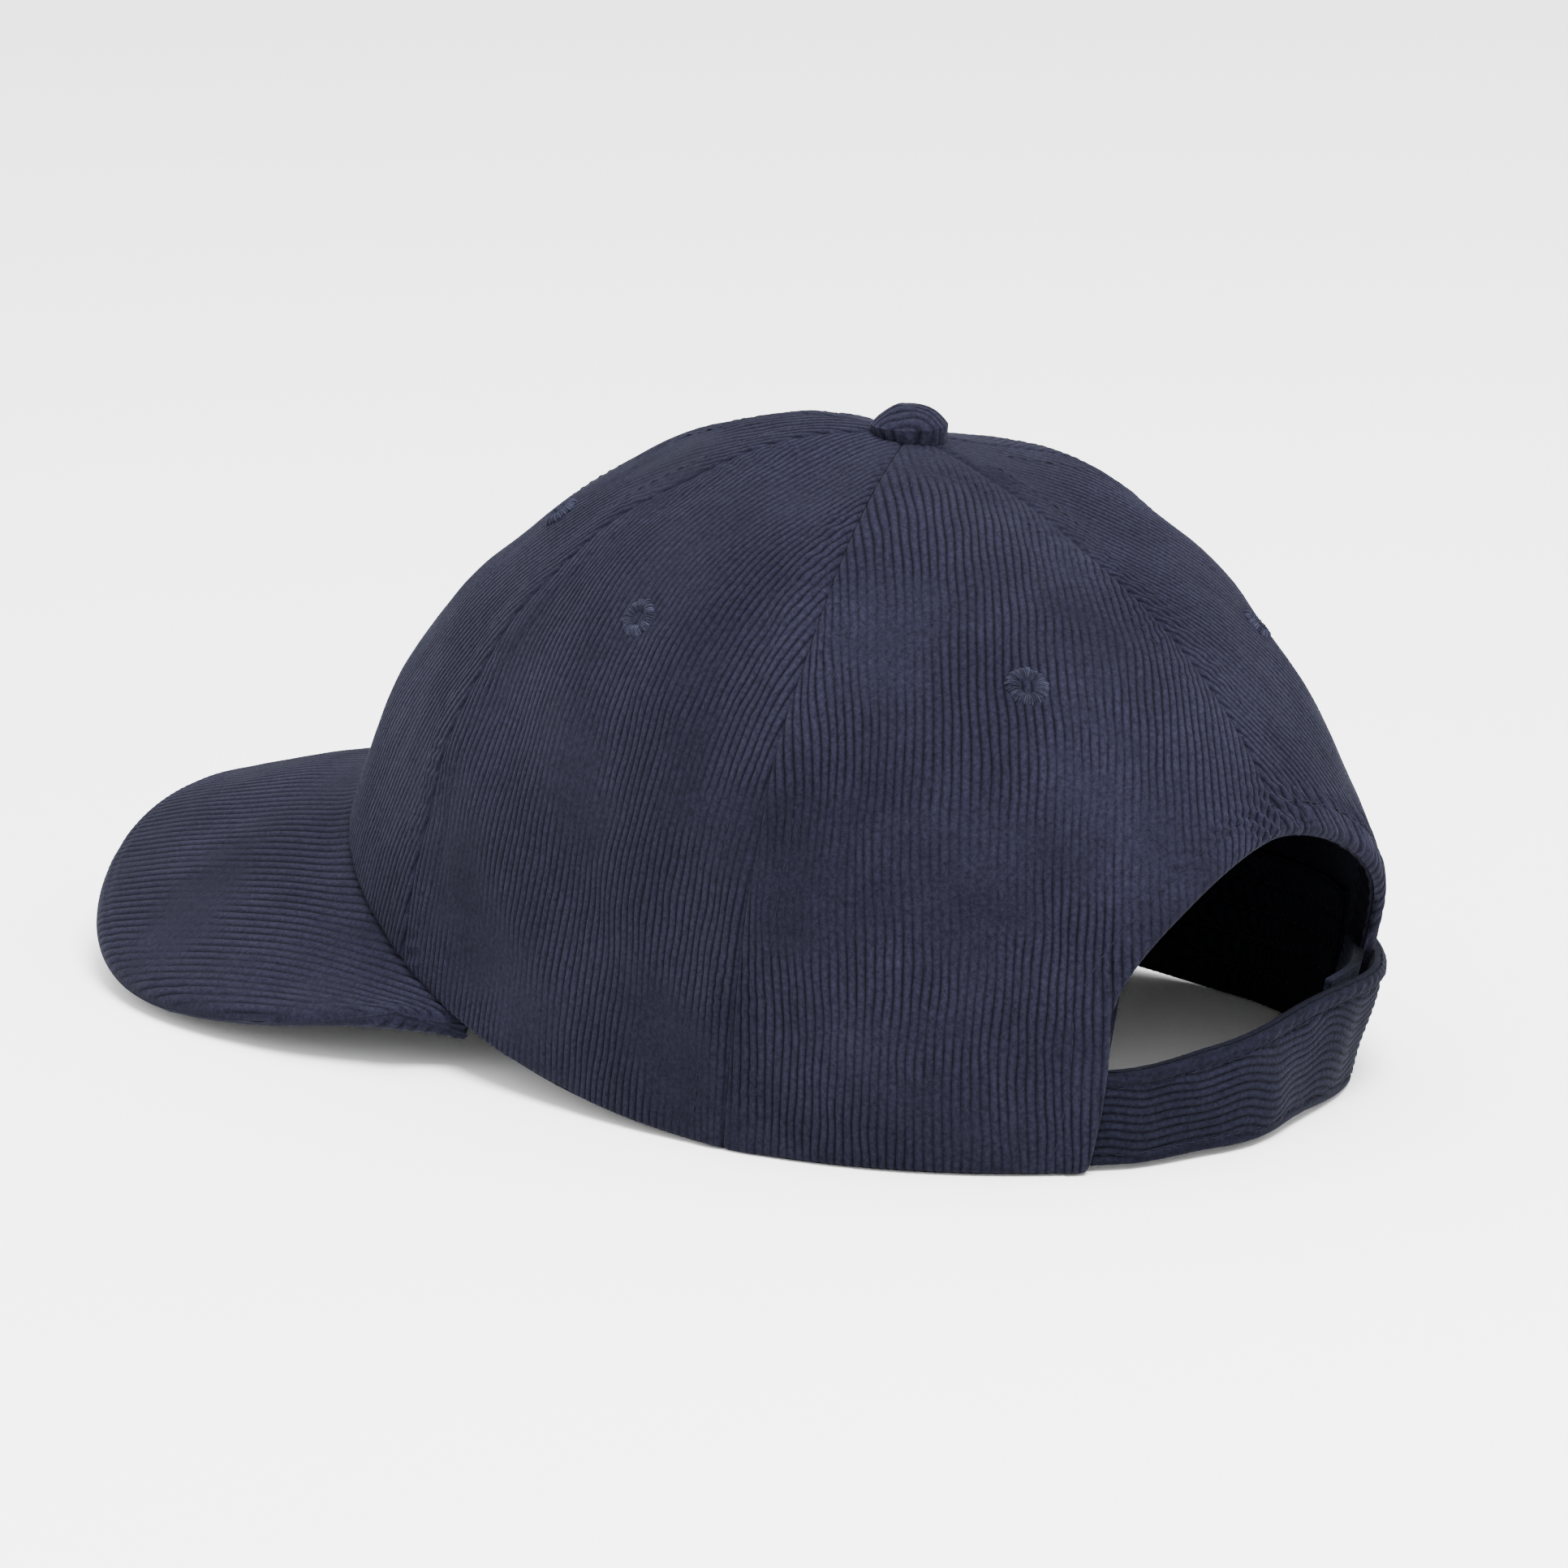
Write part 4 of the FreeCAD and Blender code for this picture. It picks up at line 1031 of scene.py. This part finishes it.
def build_tab():
    degrees, v, angle, t = closure_grid(TAB_SPAN, 0.0)
    depth = tab_depth(degrees)
    rib = wale_height(strap_width(degrees) * v + 0.0 * angle)
    outside = under(angle, t, depth + 0.05 - TAB_HUG * ease(degrees, *TAB_HUG_SPAN))[0]
    inside = under(angle, t, depth + 1.3 + 0.15 * rib)[0]
    ridge = np.concatenate([rib.ravel(), rib.ravel()])
    slab("right_tab_cloth", outside, inside, SHADED_STRAP_CORD, ["right_tab"], "crown", ridge)


def build_strips():
    """Loop tape on the tab and hook tape on the strap; depths are from the cloth they lie on."""
    for name, node, span, body, material, base, top, bottom, piles in (
            ("loop_strip", "loop_tape", LOOP_SPAN, "crown", LOOPS, tab_depth, -0.5, -0.05, (0.06, 0.0)),
            ("hook_strip", "hook_tape", HOOK_SPAN, "strap_end", HOOKS, strap_depth, 1.95, 2.35,
             (0.0, 0.125))):
        degrees, v, angle, t = closure_grid(span, TAPE_INSET)
        tufts = np.sin(degrees * 9.0) * np.sin(v * 75.0) + 0.4 * waves(outer(angle, t), 2.0, 111)
        outside = under(angle, t, base(degrees) + top - piles[0] * tufts)[0]
        inside = under(angle, t, base(degrees) + bottom + piles[1] * tufts)[0]
        slab(name, outside, inside, material, [node], body)


# ---------------- labels
SIZE_LABEL_SPAN, SIZE_LABEL_HEIGHTS = (117.0, 128.0), (7.0, 25.0)
CARE_THICK = 0.22


def build_size_label():
    around = np.radians(np.linspace(*SIZE_LABEL_SPAN, 40))
    angle, height = np.meshgrid(around, np.linspace(*SIZE_LABEL_HEIGHTS, 44), indexing="ij")
    t = rise_for(angle, height)
    spots = outer(angle, t)
    soft = 0.08 * waves(spots, 9.0, 121)
    inside, normal = under(angle, t, 3.42 + soft)
    slab("size_label_cloth", under(angle, t, 3.18)[0], inside, LABEL, ["size_label"])
    ends = [(inside[:, k] - normal[:, k] * 0.02, -normal[:, k]) for k in (3, -4)]
    stitches("size_label_stitching", ends, 1.8, 0.75, 0.1)


def build_care_label():
    low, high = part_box("care_label")
    across, down = np.meshgrid(np.linspace(0.0, 1.0, 49), np.linspace(0.0, 1.0, 57), indexing="ij")
    y = low.y / MM + (high.y - low.y) / MM * across - AXIS_Y
    z = low.z / MM + (high.z - low.z) / MM * down
    curl = 0.35 * np.sin(2.2 * across + 0.4) * (1.0 - down) + 0.1 * np.sin(9.0 * down)
    x = (low.x + high.x) / 2.0 / MM - curl * 0.9
    front = np.stack([x + CARE_THICK / 2.0, y, z], -1)
    back = front - np.array([CARE_THICK, 0.0, 0.0])
    obj = slab("care_label_cloth", front, back, LABEL, ["care_label"], "care_label")


def plain_material(name, colour, rough, metal=0.0):
    material, shader, node, join, texture, rough_surface = node_tools(name)
    noise = texture("TexNoise", Scale=260.0, Detail=4.0)
    dark, light = [c * 0.82 for c in colour], [min(1.0, c * 1.1) for c in colour]
    join(join(noise, ramp(node, dark, light, 0.3, 0.7), "Fac"), shader, "Base Color")
    rough_surface(noise, 0.2, 0.0001, rough, 0.5, 0.0)
    shader.inputs["Metallic"].default_value = metal
    return material


TWILL = weave_material("cotton_twill_tape", (0.0022, 0.0023, 0.0046), (0.006, 0.0063, 0.012), 1500.0)
BAND = weave_material("sweatband_twill", (0.002, 0.0021, 0.0042), (0.0055, 0.0058, 0.011), 1300.0)
LOOPS = weave_material("loop_pile", (0.007, 0.0075, 0.013), (0.022, 0.024, 0.035), 2600.0, 0.15)
HOOKS = weave_material("hook_pile", (0.006, 0.0065, 0.011), (0.02, 0.021, 0.03), 2200.0)
LABEL = weave_material("label_satin", (0.6, 0.59, 0.56), (0.8, 0.79, 0.76), 3200.0, 0.1)
# painted shade: a darker copy of the corduroy for the strap and tab, which sit back in the rear opening
SHADED_STRAP_CORD = corduroy_material("strap_corduroy_shaded", (0.0056, 0.0058, 0.0115), (0.0012, 0.0012, 0.0025))
build_sweatband()
build_tapes()
build_facing()
build_strap()
build_tab()
build_strips()
build_size_label()
build_care_label()
BOARD = plain_material("board_plastic", (0.7, 0.7, 0.68), 0.55)
METAL = plain_material("button_metal", (0.6, 0.6, 0.61), 0.35, 0.9)
for node_name, material in (("visor_board", BOARD), ("button_shell", METAL),
                            ("button_washer", METAL), ("button_post", METAL)):
    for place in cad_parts[node_name].material_slots:
        place.material = material


# ---------------- floor, light and camera
def stage_plane(half):
    mesh = bpy.data.meshes.new("floor")
    corners = [(-half, -half, 0), (half, -half, 0), (half, half, 0), (-half, half, 0)]
    mesh.from_pydata(corners, [], [(0, 1, 2, 3)])
    material, shader = node_tools("floor_paint")[:2]
    shader.inputs["Base Color"].default_value = (0.95, 0.95, 0.95, 1.0)
    shader.inputs["Roughness"].default_value = 0.9
    mesh.materials.append(material)
    add_object("floor", mesh)


def light(name, place, target, size, power):
    data = bpy.data.lights.new(name, "AREA")
    data.shape, data.size, data.energy = "DISK", size, power
    obj = add_object(name, data)
    obj.location = place
    obj.rotation_mode = "QUATERNION"
    obj.rotation_quaternion = (Vector(target) - Vector(place)).to_track_quat("-Z", "Y")


def aim_camera(phi, tilt, distance, lens, shift_x, shift_y):
    """Camera that looks at the foot of the button's axis, phi from +X toward +Y."""
    toward = Vector((math.cos(phi) * math.cos(tilt), math.sin(phi) * math.cos(tilt), math.sin(tilt)))
    right = Vector((-math.sin(phi), math.cos(phi), 0.0))
    data = bpy.data.cameras.new("camera")
    data.sensor_width = 36.0
    data.lens = lens
    data.shift_x = shift_x
    data.shift_y = shift_y
    data.clip_start = 0.05
    camera = add_object("camera", data)
    turn = Matrix((right, toward.cross(right), toward)).transposed()
    place = Vector((0.0, AXIS_Y * MM, 0.0)) + toward * distance
    camera.matrix_world = Matrix.Translation(place) @ turn.to_4x4()
    bpy.context.scene.camera = camera


stage_plane(4.0)
aim_camera(math.radians(39.4), math.radians(15.7), 1.3, 161.8, -0.0802, 0.1695)

world = bpy.data.worlds.new("world")
bpy.context.scene.world = world
world.use_nodes = True
sky = world.node_tree.nodes["Background"]
sky.inputs[0].default_value = (1.0, 1.0, 1.0, 1.0)
sky.inputs[1].default_value = 2.6
light("key", (0.38, 0.7, 1.39), (0.0, 0.0, 0.05), 0.8, 80.0)
light("top", (-0.1, -0.2, 1.7), (0.0, 0.0, 0.05), 1.4, 26.0)
